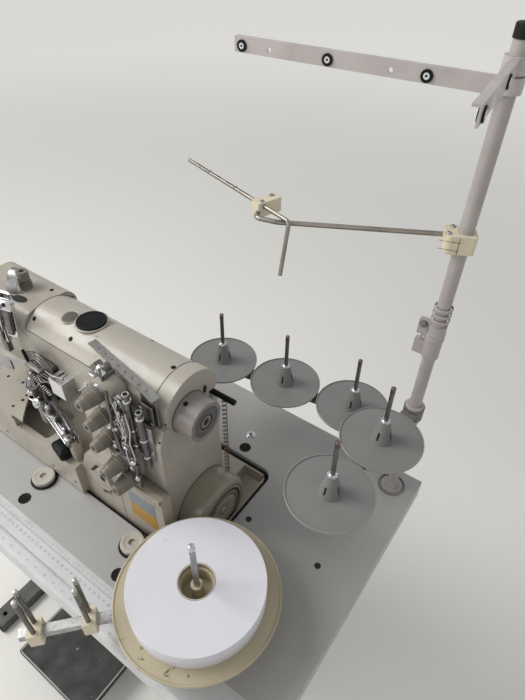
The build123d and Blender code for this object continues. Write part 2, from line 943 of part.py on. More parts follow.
# Round housing on the end cap with a seat for the shaft's end disc
with BuildPart() as end_boss:
    with BuildSketch(facing_right(column_right)):
        with Locations((boss_y, boss_z)):
            Circle(end_boss_radius)
    extrude(amount=end_boss_length, taper=3)
    with BuildSketch(facing_right(boss_end)):
        with Locations((boss_y, boss_z)):
            Circle(upper_disc_radius + gap)
    extrude(amount=-end_boss_recess, mode=Mode.SUBTRACT)
    with BuildSketch(facing_right(boss_end)):
        with Locations((boss_y, boss_z)):
            Circle(upper_shaft_radius + shaft_play)
    extrude(amount=-end_boss_length, mode=Mode.SUBTRACT)

# Upper shaft with its dished end disc
disc_end = boss_end - end_boss_recess + gap + upper_disc_thickness
with BuildPart() as upper_shaft:
    with BuildSketch(facing_right(disc_end)):
        with Locations((boss_y, boss_z)):
            Circle(upper_disc_radius)
    extrude(amount=-upper_disc_thickness)
    with BuildSketch(facing_right(disc_end)):
        with Locations((boss_y, boss_z)):
            Circle(upper_disc_dish + 7)
            Circle(upper_disc_dish - 3, mode=Mode.SUBTRACT)
    extrude(amount=-upper_disc_thickness / 2, mode=Mode.SUBTRACT)
    with BuildSketch(facing_right(disc_end - upper_disc_thickness)):
        with Locations((boss_y, boss_z)):
            Circle(upper_shaft_radius)
    extrude(amount=-(disc_end - upper_disc_thickness - column_right) - upper_shaft_length)

# Motor housing, shallow cup for the handwheel, and the peg of the lifter spring
with BuildPart() as motor_housing:
    with BuildSketch(facing_right(column_right)):
        with Locations((axis_y, motor_z)):
            Circle(motor_radius)
    extrude(amount=motor_length)
    rim = motor_housing.faces().sort_by(Axis.X)[-1].edges()
    fillet(rim, radius=motor_edge)
    with BuildSketch(level(spring_x, lifter_y, top + spring_bottom - 20)):
        Circle(spring_peg_radius)
    extrude(amount=20)
    with BuildSketch(facing_right(motor_end)):
        with Locations((axis_y, motor_z)):
            Circle(handwheel_radius + handwheel_play)
    extrude(amount=-motor_recess, mode=Mode.SUBTRACT)
    with BuildSketch(facing_right(motor_end)):
        with Locations((axis_y, motor_z)):
            Circle(main_shaft_radius + shaft_play)
    extrude(amount=-motor_length, mode=Mode.SUBTRACT)

# Handwheel on the main shaft
wheel_start = motor_end - motor_recess + gap
with BuildPart() as handwheel:
    with BuildSketch(facing_right(wheel_start)):
        with Locations((axis_y, motor_z)):
            Circle(handwheel_radius)
    extrude(amount=handwheel_width)
    wheel_rim = handwheel.faces().sort_by(Axis.X)[-1].edges()
    fillet(wheel_rim, radius=handwheel_edge)
    with BuildSketch(facing_right(wheel_start + handwheel_width)):
        with Locations((axis_y, motor_z)):
            Circle(handwheel_ring)
            Circle(handwheel_ring - handwheel_ring_width, mode=Mode.SUBTRACT)
            Circle(handwheel_ring - 2 * handwheel_ring_width)
            Circle(handwheel_ring - 3 * handwheel_ring_width, mode=Mode.SUBTRACT)
    extrude(amount=-handwheel_groove, mode=Mode.SUBTRACT)
    with BuildSketch(facing_right(wheel_start)):
        with Locations((axis_y, motor_z)):
            Circle(main_shaft_radius)
    extrude(amount=column_right - wheel_start - main_shaft_length + 2)

# Front cover block with a lip along its top and a slope up to the column
cover_start = column_right - front_cover_left + gap
cover_end = column_right + front_cover_overhang
cover_front = front_y - front_cover_thickness
with BuildPart() as front_cover:
    with BuildSketch(facing_right(cover_start)):
        with BuildLine():
            Polyline(
                (front_y, top + front_cover_bottom),
                (front_y, top + column_foot),
                (cover_front + 6, top + front_cover_top + 2),
                (cover_front - lip_proud, top + front_cover_top + 2),
                (cover_front - lip_proud, top + front_cover_top - lip_height),
                (cover_front, top + front_cover_top - lip_height),
                (cover_front, top + front_cover_bottom),
                close=True,
            )
        make_face()
    extrude(amount=cover_end - cover_start)

# Cloth plate with a rounded nose over the recess
with BuildPart() as cloth_plate:
    with BuildSketch(level(0, 0, top + bed_top)):
        with BuildLine():
            Polyline(
                (plate_right, bed_back),
                (bed_left, bed_back),
                (bed_left, bed_front),
                (plate_right + cloth_plate_nose, bed_front),
            )
            ThreePointArc(
                (plate_right + cloth_plate_nose, bed_front),
                (plate_right + cloth_plate_nose * 0.45, bed_front + 16),
                (plate_right - 12, bed_front + 46),
            )
            Polyline(
                (plate_right - 12, bed_front + 46),
                (plate_right, bed_front + 62),
                (plate_right, bed_back),
            )
        make_face()
    extrude(amount=cloth_plate_thickness)
    with BuildSketch(level(needle_x + needle_plate_shift, needle_y, plate_top)):
        Rectangle(needle_plate_length, needle_plate_depth)
    extrude(amount=-needle_plate_thickness, mode=Mode.SUBTRACT)
    with BuildSketch(level(needle_x + needle_plate_shift, needle_y, plate_top)):
        Rectangle(
            needle_plate_length - 2 * needle_plate_ledge,
            needle_plate_depth - 2 * needle_plate_ledge,
        )
    extrude(amount=-cloth_plate_thickness, mode=Mode.SUBTRACT)

# Needle plate with the needle slot and the two feed slots
with BuildPart() as needle_plate:
    with BuildSketch(level(needle_x, needle_y, plate_top - needle_plate_thickness)):
        with Locations((needle_plate_shift, 0)):
            Rectangle(needle_plate_length, needle_plate_depth)
        SlotOverall(needle_slot_length, needle_slot_width, mode=Mode.SUBTRACT)
        with Locations((-feed_slot_pitch, 0), (feed_slot_pitch, 0)):
            Rectangle(feed_slot_width, feed_slot_length, mode=Mode.SUBTRACT)
    extrude(amount=needle_plate_thickness)

# Feed dog: two toothed bars on a cross block that slides on a rod
tooth_length = feed_slot_length - 2 * feed_stroke - 2 * gap
tail_end = tooth_length / 2 + feed_bar_tail
feed_bar_z = top + bed_top - feed_bar_drop
with BuildPart() as feed_dog:
    with BuildSketch(level(needle_x, needle_y, feed_bar_z)):
        with Locations((-feed_slot_pitch, feed_bar_tail / 2), (feed_slot_pitch, feed_bar_tail / 2)):
            Rectangle(feed_tooth_width, tooth_length + feed_bar_tail)
    extrude(amount=feed_bar_height)
    with BuildSketch(level(needle_x, needle_y, feed_bar_z + feed_bar_height)):
        with Locations((-feed_slot_pitch, 0), (feed_slot_pitch, 0)):
            Rectangle(feed_tooth_width, tooth_length)
    extrude(amount=plate_top + feed_height - feed_bar_z - feed_bar_height)
    with BuildSketch(level(needle_x, needle_y + tail_end - feed_block_depth / 2, feed_rod_z - feed_block_below)):
        Rectangle(2 * feed_slot_pitch + feed_tooth_width, feed_block_depth)
    extrude(amount=feed_bar_z + feed_bar_height - feed_rod_z + feed_block_below)
    with BuildSketch(facing_front(needle_y + tail_end - 1)):
        with Locations((needle_x, feed_rod_z)):
            Circle(feed_rod_radius)
    extrude(amount=-(bed_back - feed_stroke - 2 - needle_y - tail_end))

# Looper: shaft across the bed, arm and blade behind the needles
blade_y = needle_y + looper_blade_gap
with BuildPart() as looper:
    with BuildSketch(facing_front(bed_front + bed_wall / 2 + gap)):
        with Locations((looper_x, looper_z)):
            Circle(looper_shaft_radius)
    extrude(amount=-(bed_back - bed_front - bed_wall - 2 * gap))
    with BuildSketch(facing_front(blade_y)):
        with BuildLine():
            Polyline(
                (looper_x - looper_arm_left, looper_z),
                (looper_x - looper_arm_left - looper_arm_lean, top + looper_top),
                (looper_x, top + looper_top),
                (looper_x + looper_blade_length, top + looper_top - looper_tip_drop),
                (looper_x, top + looper_top - looper_blade_width),
                (looper_x + looper_arm_right, looper_z),
                close=True,
            )
        make_face()
    extrude(amount=-looper_blade_thickness)

# Needle bar with its clamp
with BuildPart() as needle_bar:
    with BuildSketch(level(needle_x, needle_y, top + needle_clamp_bottom)):
        Circle(needle_clamp_radius)
    extrude(amount=needle_clamp_height)
    with BuildSketch(level(needle_x, needle_y, top + needle_clamp_bottom + needle_clamp_height)):
        Circle(needle_bar_radius)
    extrude(amount=needle_bar_top - needle_clamp_bottom - needle_clamp_height)

# Three needles
with BuildPart() as needles:
    with BuildSketch(level(needle_x, needle_y, top + needle_clamp_bottom)):
        with Locations((-needle_pitch, 0), (0, 0), (needle_pitch, 0)):
            Circle(needle_radius)
    extrude(amount=6 - needle_length)
    with BuildSketch(level(needle_x, needle_y, top + needle_clamp_bottom + 6 - needle_length)):
        with Locations((-needle_pitch, 0), (0, 0), (needle_pitch, 0)):
            Circle(needle_radius)
    extrude(amount=-6, taper=5)

# Take-up: block on the needle bar reaching through the slot to a bright plate
plate_y = axis_y - head_front - gap - 1
with BuildPart() as take_up_lever:
    with BuildSketch(facing_front(plate_y)):
        with Locations((needle_x, top + take_up_height + take_up_thickness / 2)):
            Rectangle(take_up_slot, take_up_thickness)
    extrude(amount=plate_y - needle_y)
    with BuildSketch(level(needle_x, needle_y, top + take_up_height)):
        Circle(needle_bar_radius)
    extrude(amount=take_up_thickness, mode=Mode.SUBTRACT)
    with BuildSketch(facing_front(plate_y)):
        with Locations((needle_x, top + take_up_height + take_up_plate_height / 2 - 18)):
            RectangleRounded(take_up_plate_width, take_up_plate_height, 5)
        with Locations(
            (needle_x, top + take_up_height + take_up_plate_height - 28),
            (needle_x, top + take_up_height + take_up_plate_height - 42),
        ):
            SlotOverall(12, 3, mode=Mode.SUBTRACT)
    extrude(amount=take_up_plate_thickness)

# Presser bar
with BuildPart() as presser_bar:
    with BuildSketch(level(needle_x, presser_y, top + presser_bar_bottom)):
        Circle(presser_bar_radius)
    extrude(amount=presser_bar_top - presser_bar_bottom)

# Presser foot: a socket on the bar and a sole with two toes
sole_bottom = plate_top + feed_height + gap
sole_length = presser_y - needle_y + presser_foot_front + presser_shank_radius
with BuildPart() as presser_foot:
    with BuildSketch(level(needle_x, presser_y, sole_bottom)):
        Circle(presser_shank_radius)
    extrude(amount=top + presser_bar_bottom + 12 - sole_bottom)
    with BuildSketch(level(needle_x, presser_y + presser_shank_radius - sole_length / 2, sole_bottom)):
        RectangleRounded(presser_foot_width, sole_length, 4)
    extrude(amount=presser_foot_thickness)
    with BuildSketch(level(needle_x, needle_y + toe_gap_back - toe_gap_length / 2, sole_bottom)):
        Rectangle(toe_gap_width, toe_gap_length)
    extrude(amount=presser_foot_thickness, mode=Mode.SUBTRACT)
    with BuildSketch(level(needle_x, presser_y, top + presser_bar_bottom)):
        Circle(presser_bar_radius)
    extrude(amount=20, mode=Mode.SUBTRACT)

# Pressure knob, a screw above the presser bar
knob_head_z = top + head_top + gap + knob_base_height + knob_neck_height
with BuildPart() as pressure_knob:
    with BuildSketch(level(needle_x, presser_y, top + head_top - knob_stem_depth)):
        Circle(knob_stem_radius)
    extrude(amount=knob_stem_depth + gap)
    with BuildSketch(level(needle_x, presser_y, top + head_top + gap)):
        Circle(knob_base_radius)
    extrude(amount=knob_base_height)
    with BuildSketch(level(needle_x, presser_y, top + head_top + gap + knob_base_height)):
        Circle(knob_neck_radius)
    extrude(amount=knob_neck_height)
    with BuildSketch(level(needle_x, presser_y, knob_head_z)):
        Circle(knob_head_radius)
    extrude(amount=knob_height - knob_base_height - knob_neck_height)
    with BuildSketch(level(needle_x, presser_y, top + head_top + gap + knob_height)):
        Circle(knob_hole_radius)
    extrude(amount=-knob_hole_depth, mode=Mode.SUBTRACT)

# Tension posts with their pairs of discs
tension_places = []
for index, height in enumerate(tension_heights):
    face_y = pad_front if index < upper_tensions else low_pad_front
    tension_places.append((tension_x + tension_shifts[index], face_y, top + height))
with BuildPart() as tension_posts:
    for post_x, post_y, post_z in tension_places:
        with BuildSketch(facing_front(post_y)):
            with Locations((post_x, post_z)):
                Circle(tension_disc_radius)
        extrude(amount=tension_disc_thickness)
        with BuildSketch(facing_front(post_y - tension_disc_thickness)):
            with Locations((post_x, post_z)):
                Circle(tension_post_radius)
        extrude(amount=tension_post_length)


def tension_knob(place):
    """A stepped, tapered knob that turns on its post."""
    knob_x, knob_y, knob_z = place
    start_y = knob_y - tension_disc_thickness - gap
    ridge_radius = tension_knob_radius - 1.5
    with BuildPart() as knob:
        with BuildSketch(facing_front(start_y)):
            with Locations((knob_x, knob_z)):
                Circle(tension_knob_radius)
        extrude(amount=7)
        with BuildSketch(facing_front(start_y - 7)):
            with Locations((knob_x, knob_z)):
                Circle(ridge_radius)
        extrude(amount=tension_knob_length - 7, taper=11)
        with BuildSketch(facing_front(start_y)):
            with Locations((knob_x, knob_z)):
                Circle(tension_post_radius + shaft_play)
        extrude(amount=tension_post_length + gap, mode=Mode.SUBTRACT)
    return knob


knob_1 = tension_knob(tension_places[0])
knob_2 = tension_knob(tension_places[1])
knob_3 = tension_knob(tension_places[2])
knob_4 = tension_knob(tension_places[3])
knob_5 = tension_knob(tension_places[4])

# Thread guide strip over the arm: a foot on the cover and a bracket on the column
strip_dx = strip_right[0] - strip_left[0]
strip_dy = strip_right[1] - strip_left[1]
strip_angle = degrees(atan2(strip_dy, strip_dx))
strip_length = hypot(strip_dx, strip_dy)
strip_x = (strip_left[0] + strip_right[0]) / 2
strip_y = (strip_left[1] + strip_right[1]) / 2
foot_x = strip_left[0] + 10
foot_y = strip_left[1] - 2
bracket_x = strip_right[0] - strip_bracket_width / 2
with BuildPart() as thread_strip:
    with BuildSketch(level(strip_x, strip_y, top + strip_height, strip_angle)):
        RectangleRounded(strip_length, strip_width, 1.5)
        with GridLocations(16, 0, 8, 1):
            Circle(1.3, mode=Mode.SUBTRACT)
    extrude(amount=strip_thickness)
    with BuildSketch(level(foot_x, foot_y, top + strip_height)):
        Circle(strip_foot_radius)
    extrude(amount=-strip_foot_length)
    with BuildSketch(level(bracket_x, strip_right[1] - 1, top + strip_height)):
        Rectangle(strip_bracket_width, 2)
    extrude(amount=end_cap_bottom - strip_height)
    with BuildSketch(level(bracket_x, strip_right[1] - 2, top + end_cap_bottom)):
        with Locations((0, strip_bracket_foot / 2)):
            Rectangle(strip_bracket_width, strip_bracket_foot)
    extrude(amount=2.5)

# Upright thread guide tubes in a clip on the column
tube_y = front_y - guide_tube_proud
clip_x = column_right + (guide_tube_shifts[0] + guide_tube_shifts[1]) / 2
clip_length = guide_tube_shifts[1] - guide_tube_shifts[0] + 2 * guide_tube_radius + 3
with BuildPart() as tube_guides:
    for shift, low, high in zip(guide_tube_shifts, guide_tube_bottoms, guide_tube_tops):
        with BuildSketch(level(column_right + shift, tube_y, top + low)):
            Circle(guide_tube_radius)
        extrude(amount=high - low)
    with BuildSketch(level(clip_x, tube_y, top + tube_clip_bottom)):
        with Locations((0, guide_tube_proud / 2)):
            Rectangle(clip_length, guide_tube_proud)
    extrude(amount=tube_clip_height)
    for shift, low, high in zip(guide_tube_shifts, guide_tube_bottoms, guide_tube_tops):
        with BuildSketch(level(column_right + shift, tube_y, top + low)):
            Circle(guide_tube_bore)
        extrude(amount=high - low, mode=Mode.SUBTRACT)

# Bright guard box on the arm's front
box_x = column_right + guard_box_left + guard_box_length / 2
box_y = arm_front - guard_box_depth / 2
with BuildPart() as thread_guard:
    with BuildSketch(level(box_x, box_y, top + guard_box_bottom)):
        Rectangle(guard_box_length, guard_box_depth)
    extrude(amount=guard_box_height)
    with BuildSketch(level(box_x, box_y, top + guard_box_bottom)):
        Rectangle(guard_box_length - 2 * guard_box_wall, guard_box_depth - 2 * guard_box_wall)
    extrude(amount=guard_box_height - guard_box_wall, mode=Mode.SUBTRACT)

# Swinging guard in front of the needles, on a post under the arm's front
with BuildPart() as eye_guard:
    with BuildSketch(level(guard_x, guard_y, guard_z - 6)):
        Circle(eye_guard_post_radius + 3)
        Circle(eye_guard_post_radius + shaft_play, mode=Mode.SUBTRACT)
    extrude(amount=12)
    with BuildSketch(level(guard_x, guard_y, guard_z - eye_guard_strip / 2, 194)):
        with Locations((eye_guard_reach / 2 + 2, 0)):
            Rectangle(eye_guard_reach - 4, 3)
    extrude(amount=eye_guard_strip)
    with BuildSketch(level(guard_x, guard_y, guard_z - eye_guard_plate_height, 194)):
        with Locations((eye_guard_reach - 14, 0)):
            Rectangle(34, 3)
    extrude(amount=eye_guard_plate_height)

# Lifter lever: hub on its pin, rod and long sleeve
with BuildPart() as lifter_lever:
    with BuildSketch(facing_front(lifter_y - lifter_hub_length / 2)):
        with Locations((lifter_x, lifter_z)):
            Circle(lifter_hub_radius)
    extrude(amount=-lifter_hub_length)
    with BuildSketch(facing_right(lifter_x)):
        with Locations((lifter_y, lifter_z)):
            Circle(lifter_rod_radius)
    extrude(amount=lifter_reach)
    with BuildSketch(facing_right(lifter_x + lifter_reach - lifter_sleeve_length)):
        with Locations((lifter_y, lifter_z)):
            Circle(lifter_sleeve_radius)
    extrude(amount=lifter_sleeve_length)
    with BuildSketch(facing_front(lifter_y - lifter_hub_length / 2)):
        with Locations((lifter_x, lifter_z)):
            Circle(lifter_pin_radius + shaft_play)
    extrude(amount=-lifter_hub_length, mode=Mode.SUBTRACT)

# Lifter spring, an open coil between its peg and the lever
spring_low = top + spring_bottom + spring_wire
spring_high = lifter_z - lifter_sleeve_radius - spring_wire
with BuildPart() as lifter_spring:
    with BuildLine():
        Helix(
            pitch=(spring_high - spring_low) / spring_turns,
            height=spring_high - spring_low,
            radius=spring_radius,
            center=(spring_x, lifter_y, spring_low),
        )
    with BuildSketch(Plane(origin=(spring_x + spring_radius, lifter_y, spring_low), z_dir=(0, 1, 0.2))):
        Circle(spring_wire)
    sweep()

# Oil cap with its neck in the arm cover's seat
with BuildPart() as oil_cap:
    with BuildSketch(level(oil_cap_x, oil_cap_y, top + arm_crown + gap)):
        Circle(oil_cap_radius)
    extrude(amount=oil_cap_height)
    fillet(oil_cap.faces().sort_by(Axis.Z)[-1].edges(), radius=1.2)
    with BuildSketch(level(oil_cap_x, oil_cap_y, top + arm_crown + gap)):
        Circle(oil_cap_neck)
    extrude(amount=-oil_cap_neck_depth)

# Lower pole tube with its foot washer, nut and the stud through the table
with BuildPart() as pole_lower:
    with BuildSketch(level(pole_x, pole_y, top)):
        Circle(foot_washer_radius)
    extrude(amount=foot_washer_thickness)
    with BuildSketch(level(pole_x, pole_y, top + foot_washer_thickness)):
        RegularPolygon(foot_nut_radius, 6)
    extrude(amount=foot_nut_height)
    with BuildSketch(level(pole_x, pole_y, top + foot_washer_thickness)):
        Circle(pole_radius)
    extrude(amount=pole_joint - gap - foot_washer_thickness)
    with BuildSketch(level(pole_x, pole_y, top + pole_joint - gap)):
        Circle(pole_radius - pole_wall)
    extrude(amount=-(pole_joint - foot_washer_thickness - foot_nut_height), mode=Mode.SUBTRACT)
    with BuildSketch(level(pole_x, pole_y, top)):
        Circle(pole_stud_radius)
    extrude(amount=-table_thickness - pole_stud_end)
    with BuildSketch(level(pole_x, pole_y, underside)):
        RegularPolygon(foot_nut_radius, 6)
    extrude(amount=-foot_nut_height)

# Upper pole tube
with BuildPart() as pole_upper:
    with BuildSketch(level(pole_x, pole_y, top + pole_joint)):
        Circle(pole_radius)
        Circle(pole_radius - pole_wall, mode=Mode.SUBTRACT)
    extrude(amount=pole_top - pole_joint)

# Joint clamp round the two tubes, with two ears for its screws
with BuildPart() as pole_clamp:
    with BuildSketch(level(pole_x, pole_y, top + pole_joint - joint_clamp_length / 2)):
        Circle(joint_clamp_radius)
        with Locations((-joint_clamp_radius - joint_ear_length / 2 + 3, 0)):
            Rectangle(joint_ear_length + 2, joint_ear_width)
        Circle(pole_radius, mode=Mode.SUBTRACT)
    extrude(amount=joint_clamp_length)
    with BuildSketch(facing_front(pole_y)):
        with Locations((pole_x - joint_clamp_radius - joint_ear_length / 2, top + pole_joint)):
            Rectangle(joint_ear_length - 2, 10)
    extrude(amount=joint_ear_width, both=True, mode=Mode.SUBTRACT)

# Cap of the pole
with BuildPart() as pole_cap:
    with BuildSketch(level(pole_x, pole_y, top + pole_top)):
        Circle(pole_radius + pole_cap_wall)
    extrude(amount=pole_cap_height)
    fillet(pole_cap.faces().sort_by(Axis.Z)[-1].edges(), radius=2)
    with BuildSketch(level(pole_x, pole_y, top + pole_top)):
        Circle(pole_radius + pole_cap_wall)
        Circle(pole_radius, mode=Mode.SUBTRACT)
    extrude(amount=-pole_cap_skirt)


def spool_carrier(angle, disc_z, first, pitch, count):
    """A flat bar on a hub that clamps the pole, with seats for the spool discs."""
    bar_top = top + disc_z - carrier_drop
    bar_length = first + pitch * (count - 1) + carrier_width / 2
    with BuildPart() as carrier:
        with BuildSketch(level(pole_x, pole_y, bar_top - low_hub_below)):
            Circle(carrier_hub_radius)
        extrude(amount=low_hub_below + low_hub_above)
        with BuildSketch(level(pole_x, pole_y, bar_top - carrier_thickness, angle)):
            with Locations((bar_length / 2, 0)):
                Rectangle(bar_length, carrier_width)
        extrude(amount=carrier_thickness)
        with BuildSketch(level(pole_x, pole_y, bar_top - low_hub_below)):
            Circle(pole_radius + swivel_play)
        extrude(amount=low_hub_below + low_hub_above, mode=Mode.SUBTRACT)
        with BuildSketch(level(pole_x, pole_y, bar_top, angle)):
            with Locations(*[(first + pitch * seat, 0) for seat in range(count)]):
                Circle(carrier_width / 2 - 1)
        extrude(amount=carrier_drop)
        with BuildSketch(level(pole_x, pole_y, bar_top + carrier_drop, angle)):
            with Locations(*[(first + pitch * seat, 0) for seat in range(count)]):
                Circle(spindle_radius)
        extrude(amount=-carrier_drop - carrier_thickness, mode=Mode.SUBTRACT)
    return carrier


def spool_rests(angle, disc_z, first, pitch, count):
    """Flat discs with slotted cones on them, one at each seat of a carrier."""
    seats = [(first + pitch * seat, 0) for seat in range(count)]
    with BuildPart() as rests:
        with BuildSketch(level(pole_x, pole_y, top + disc_z, angle)):
            with Locations(*seats):
                Circle(disc_radius)
        extrude(amount=disc_thickness)
        for seat_x, seat_y in seats:
            with BuildSketch(level(pole_x, pole_y, top + disc_z + disc_thickness, angle)):
                with Locations((seat_x, seat_y)):
                    Circle(cone_base_radius)
            with BuildSketch(
                level(pole_x, pole_y, top + disc_z + disc_thickness + cone_height, angle)
            ):
                with Locations((seat_x, seat_y)):
                    Circle(cone_top_radius)
            loft()
        with BuildSketch(level(pole_x, pole_y, top + disc_z + disc_thickness + 6, angle)):
            with Locations(*seats):
                Rectangle(2 * cone_base_radius, 3)
                Rectangle(3, 2 * cone_base_radius)
                Circle(cone_top_radius, mode=Mode.SUBTRACT)
        extrude(amount=14, mode=Mode.SUBTRACT)
        with BuildSketch(level(pole_x, pole_y, top + disc_z, angle)):
            with Locations(*seats):
                Circle(spindle_radius)
        extrude(amount=disc_thickness + cone_height, mode=Mode.SUBTRACT)
    return rests


def spool_spindles(angle, disc_z, first, pitch, count):
    """Spool pins with a nut under the carrier, one at each seat."""
    seats = [(first + pitch * seat, 0) for seat in range(count)]
    bar_low = top + disc_z - carrier_drop - carrier_thickness
    with BuildPart() as spindles:
        with BuildSketch(level(pole_x, pole_y, top + disc_z, angle)):
            with Locations(*seats):
                Circle(spindle_radius)
        extrude(amount=disc_thickness + spindle_above_disc)
        with BuildSketch(level(pole_x, pole_y, bar_low, angle)):
            with Locations(*seats):
                Circle(spindle_radius)
        extrude(amount=top + disc_z - bar_low)
        with BuildSketch(level(pole_x, pole_y, bar_low, angle)):
            with Locations(*seats):
                RegularPolygon(spindle_nut_radius, 6)
        extrude(amount=-spindle_nut_height)
    return spindles


high_disc_height = disc_height + disc_level_gap
carrier_low = spool_carrier(low_carrier_angle, disc_height, disc_first, disc_pitch, 3)
carrier_high = spool_carrier(high_carrier_angle, high_disc_height, disc_first, high_disc_pitch, 2)
spool_rests_low = spool_rests(low_carrier_angle, disc_height, disc_first, disc_pitch, 3)
spool_rests_high = spool_rests(
    high_carrier_angle, high_disc_height, disc_first, high_disc_pitch, 2
)
spindles_low = spool_spindles(low_carrier_angle, disc_height, disc_first, disc_pitch, 3)
spindles_high = spool_spindles(high_carrier_angle, high_disc_height, disc_first, high_disc_pitch, 2)

# Clamp block of the bent guide rod
rod_z = top + rod_clamp_height + rod_clamp_thickness / 2
rod_points = [(right + x, back + y, rod_z) for x, y in guide_rod_places]
rod_heading = (cos(radians(guide_rod_angle)), sin(radians(guide_rod_angle)), 0)
with BuildPart() as rod_clamp:
    with BuildSketch(level(pole_x, pole_y, top + rod_clamp_height, guide_rod_angle)):
        with Locations((5, 0)):
            RectangleRounded(rod_clamp_width, rod_clamp_depth, rod_clamp_corner)
        Circle(pole_radius + swivel_play, mode=Mode.SUBTRACT)
    extrude(amount=rod_clamp_thickness)
    with BuildSketch(Plane(origin=rod_points[0], z_dir=rod_heading)):
        Circle(guide_rod_radius)
    extrude(amount=rod_clamp_width, mode=Mode.SUBTRACT)

# Guide rod, level, with its hooked end going into the cross block
with BuildPart() as guide_rod:
    with BuildLine():
        FilletPolyline(*rod_points, radius=guide_rod_bend_radius)
    with BuildSketch(Plane(origin=rod_points[0], z_dir=rod_heading)):
        Circle(guide_rod_radius)
    sweep()

# Cross block, bored for the guide rod's end and for the slotted rod above it
block_x = right + cross_block_place[0]
block_y = back + cross_block_place[1]
slot_z = rod_z + slotted_rod_rise
slot_heading = (cos(radians(slotted_rod_angle)), sin(radians(slotted_rod_angle)), 0)
slot_start = (right + slotted_rod_place[0], back + slotted_rod_place[1], slot_z)
hook_x = rod_points[-1][0] - rod_points[-2][0]
hook_y = rod_points[-1][1] - rod_points[-2][1]
with BuildPart() as cross_block:
    with BuildSketch(
        level(block_x, block_y, rod_z - cross_block_below, slotted_rod_angle - 90)
    ):
        RectangleRounded(cross_block_length, cross_block_width, 2.5)
    extrude(amount=cross_block_height)
    with BuildSketch(Plane(origin=rod_points[-1], z_dir=(-hook_x, -hook_y, 0)).offset(-gap)):
        Circle(guide_rod_radius + shaft_play)
    extrude(amount=cross_block_length, mode=Mode.SUBTRACT)
    with BuildSketch(Plane(origin=slot_start, z_dir=slot_heading)):
        Circle(slotted_rod_radius + swivel_play)
    extrude(amount=slotted_rod_length, mode=Mode.SUBTRACT)

# Slotted rod with its turned-down leg
leg_x = slotted_leg * sin(radians(slotted_leg_tilt)) * cos(radians(slotted_leg_heading))
leg_y = slotted_leg * sin(radians(slotted_leg_tilt)) * sin(radians(slotted_leg_heading))
leg_z = slotted_leg * cos(radians(slotted_leg_tilt))
slot_tip = (
    slot_start[0] + slotted_rod_length * slot_heading[0],
    slot_start[1] + slotted_rod_length * slot_heading[1],
    slot_z,
)
slot_ends = [
    (slotted_rod_length - slot_from_tip, slot_length_outer),
    (slotted_rod_length - slot_from_tip_inner, slot_length_inner),
]
with BuildPart() as slotted_rod:
    with BuildLine():
        FilletPolyline(
            slot_tip,
            slot_start,
            (slot_start[0] + leg_x, slot_start[1] + leg_y, slot_z - leg_z),
            radius=slotted_rod_bend_radius,
        )
    with BuildSketch(Plane(origin=slot_tip, z_dir=(-slot_heading[0], -slot_heading[1], 0))):
        Circle(slotted_rod_radius)
    sweep()
    for slot_at, slot_length in slot_ends:
        with BuildSketch(level(slot_start[0], slot_start[1], slot_z, slotted_rod_angle)):
            with Locations((slot_at + slot_length / 2, 0)):
                SlotOverall(slot_length, slot_width)
        extrude(amount=slotted_rod_radius, both=True, mode=Mode.SUBTRACT)


def top_arm(angle, arm_top, offset, length, eyelets, holes):
    """An angle-section thread arm on a ring that clamps the pole."""
    heading = (cos(radians(angle)), sin(radians(angle)), 0)
    away = (sin(radians(angle)), -cos(radians(angle)), 0)
    web = Plane(origin=(pole_x, pole_y, top + arm_top), x_dir=heading, z_dir=away)
    with BuildPart() as arm:
        with BuildSketch(level(pole_x, pole_y, top + arm_top - arm_hub_height)):
            Circle(arm_hub_radius)
        extrude(amount=arm_hub_height)
        with BuildSketch(web.offset(-offset)):
            with Locations((length / 2, -arm_web / 2)):
                Rectangle(length, arm_web)
            with Locations(*[(place, -arm_web / 2 - eyelet_drop) for place in eyelets]):
                Circle(eyelet_barrel, mode=Mode.SUBTRACT)
            with Locations(*[(place, -arm_web / 2 - eyelet_drop) for place in holes]):
                Circle(plain_hole_radius, mode=Mode.SUBTRACT)
        extrude(amount=arm_sheet)
        with BuildSketch(level(pole_x, pole_y, top + arm_top, angle)):
            with Locations((length / 2, offset - arm_flange / 2)):
                Rectangle(length, arm_flange)
        extrude(amount=-arm_sheet)
        with BuildSketch(level(pole_x, pole_y, top + arm_top)):
            Circle(pole_radius + swivel_play)
        extrude(amount=-arm_web, mode=Mode.SUBTRACT)
    return arm


def arm_eyelets(angle, arm_top, offset, eyelets):
    """Flanged eyelets pressed through an arm's web."""
    heading = (cos(radians(angle)), sin(radians(angle)), 0)
    away = (sin(radians(angle)), -cos(radians(angle)), 0)
    web = Plane(origin=(pole_x, pole_y, top + arm_top), x_dir=heading, z_dir=away)
    with BuildPart() as rings:
        for place in eyelets:
            with BuildSketch(web.offset(-offset)):
                with Locations((place, -arm_web / 2 - eyelet_drop)):
                    Circle(eyelet_radius)
            extrude(amount=-eyelet_flange)
            with BuildSketch(web.offset(-offset)):
                with Locations((place, -arm_web / 2 - eyelet_drop)):
                    Circle(eyelet_barrel)
            extrude(amount=arm_sheet)
            with BuildSketch(web.offset(arm_sheet - offset)):
                with Locations((place, -arm_web / 2 - eyelet_drop)):
                    Circle(eyelet_radius)
            extrude(amount=eyelet_flange)
            with BuildSketch(web.offset(arm_sheet + eyelet_flange - offset)):
                with Locations((place, -arm_web / 2 - eyelet_drop)):
                    Circle(eyelet_hole)
            extrude(amount=-arm_sheet - 2 * eyelet_flange, mode=Mode.SUBTRACT)
    return rings


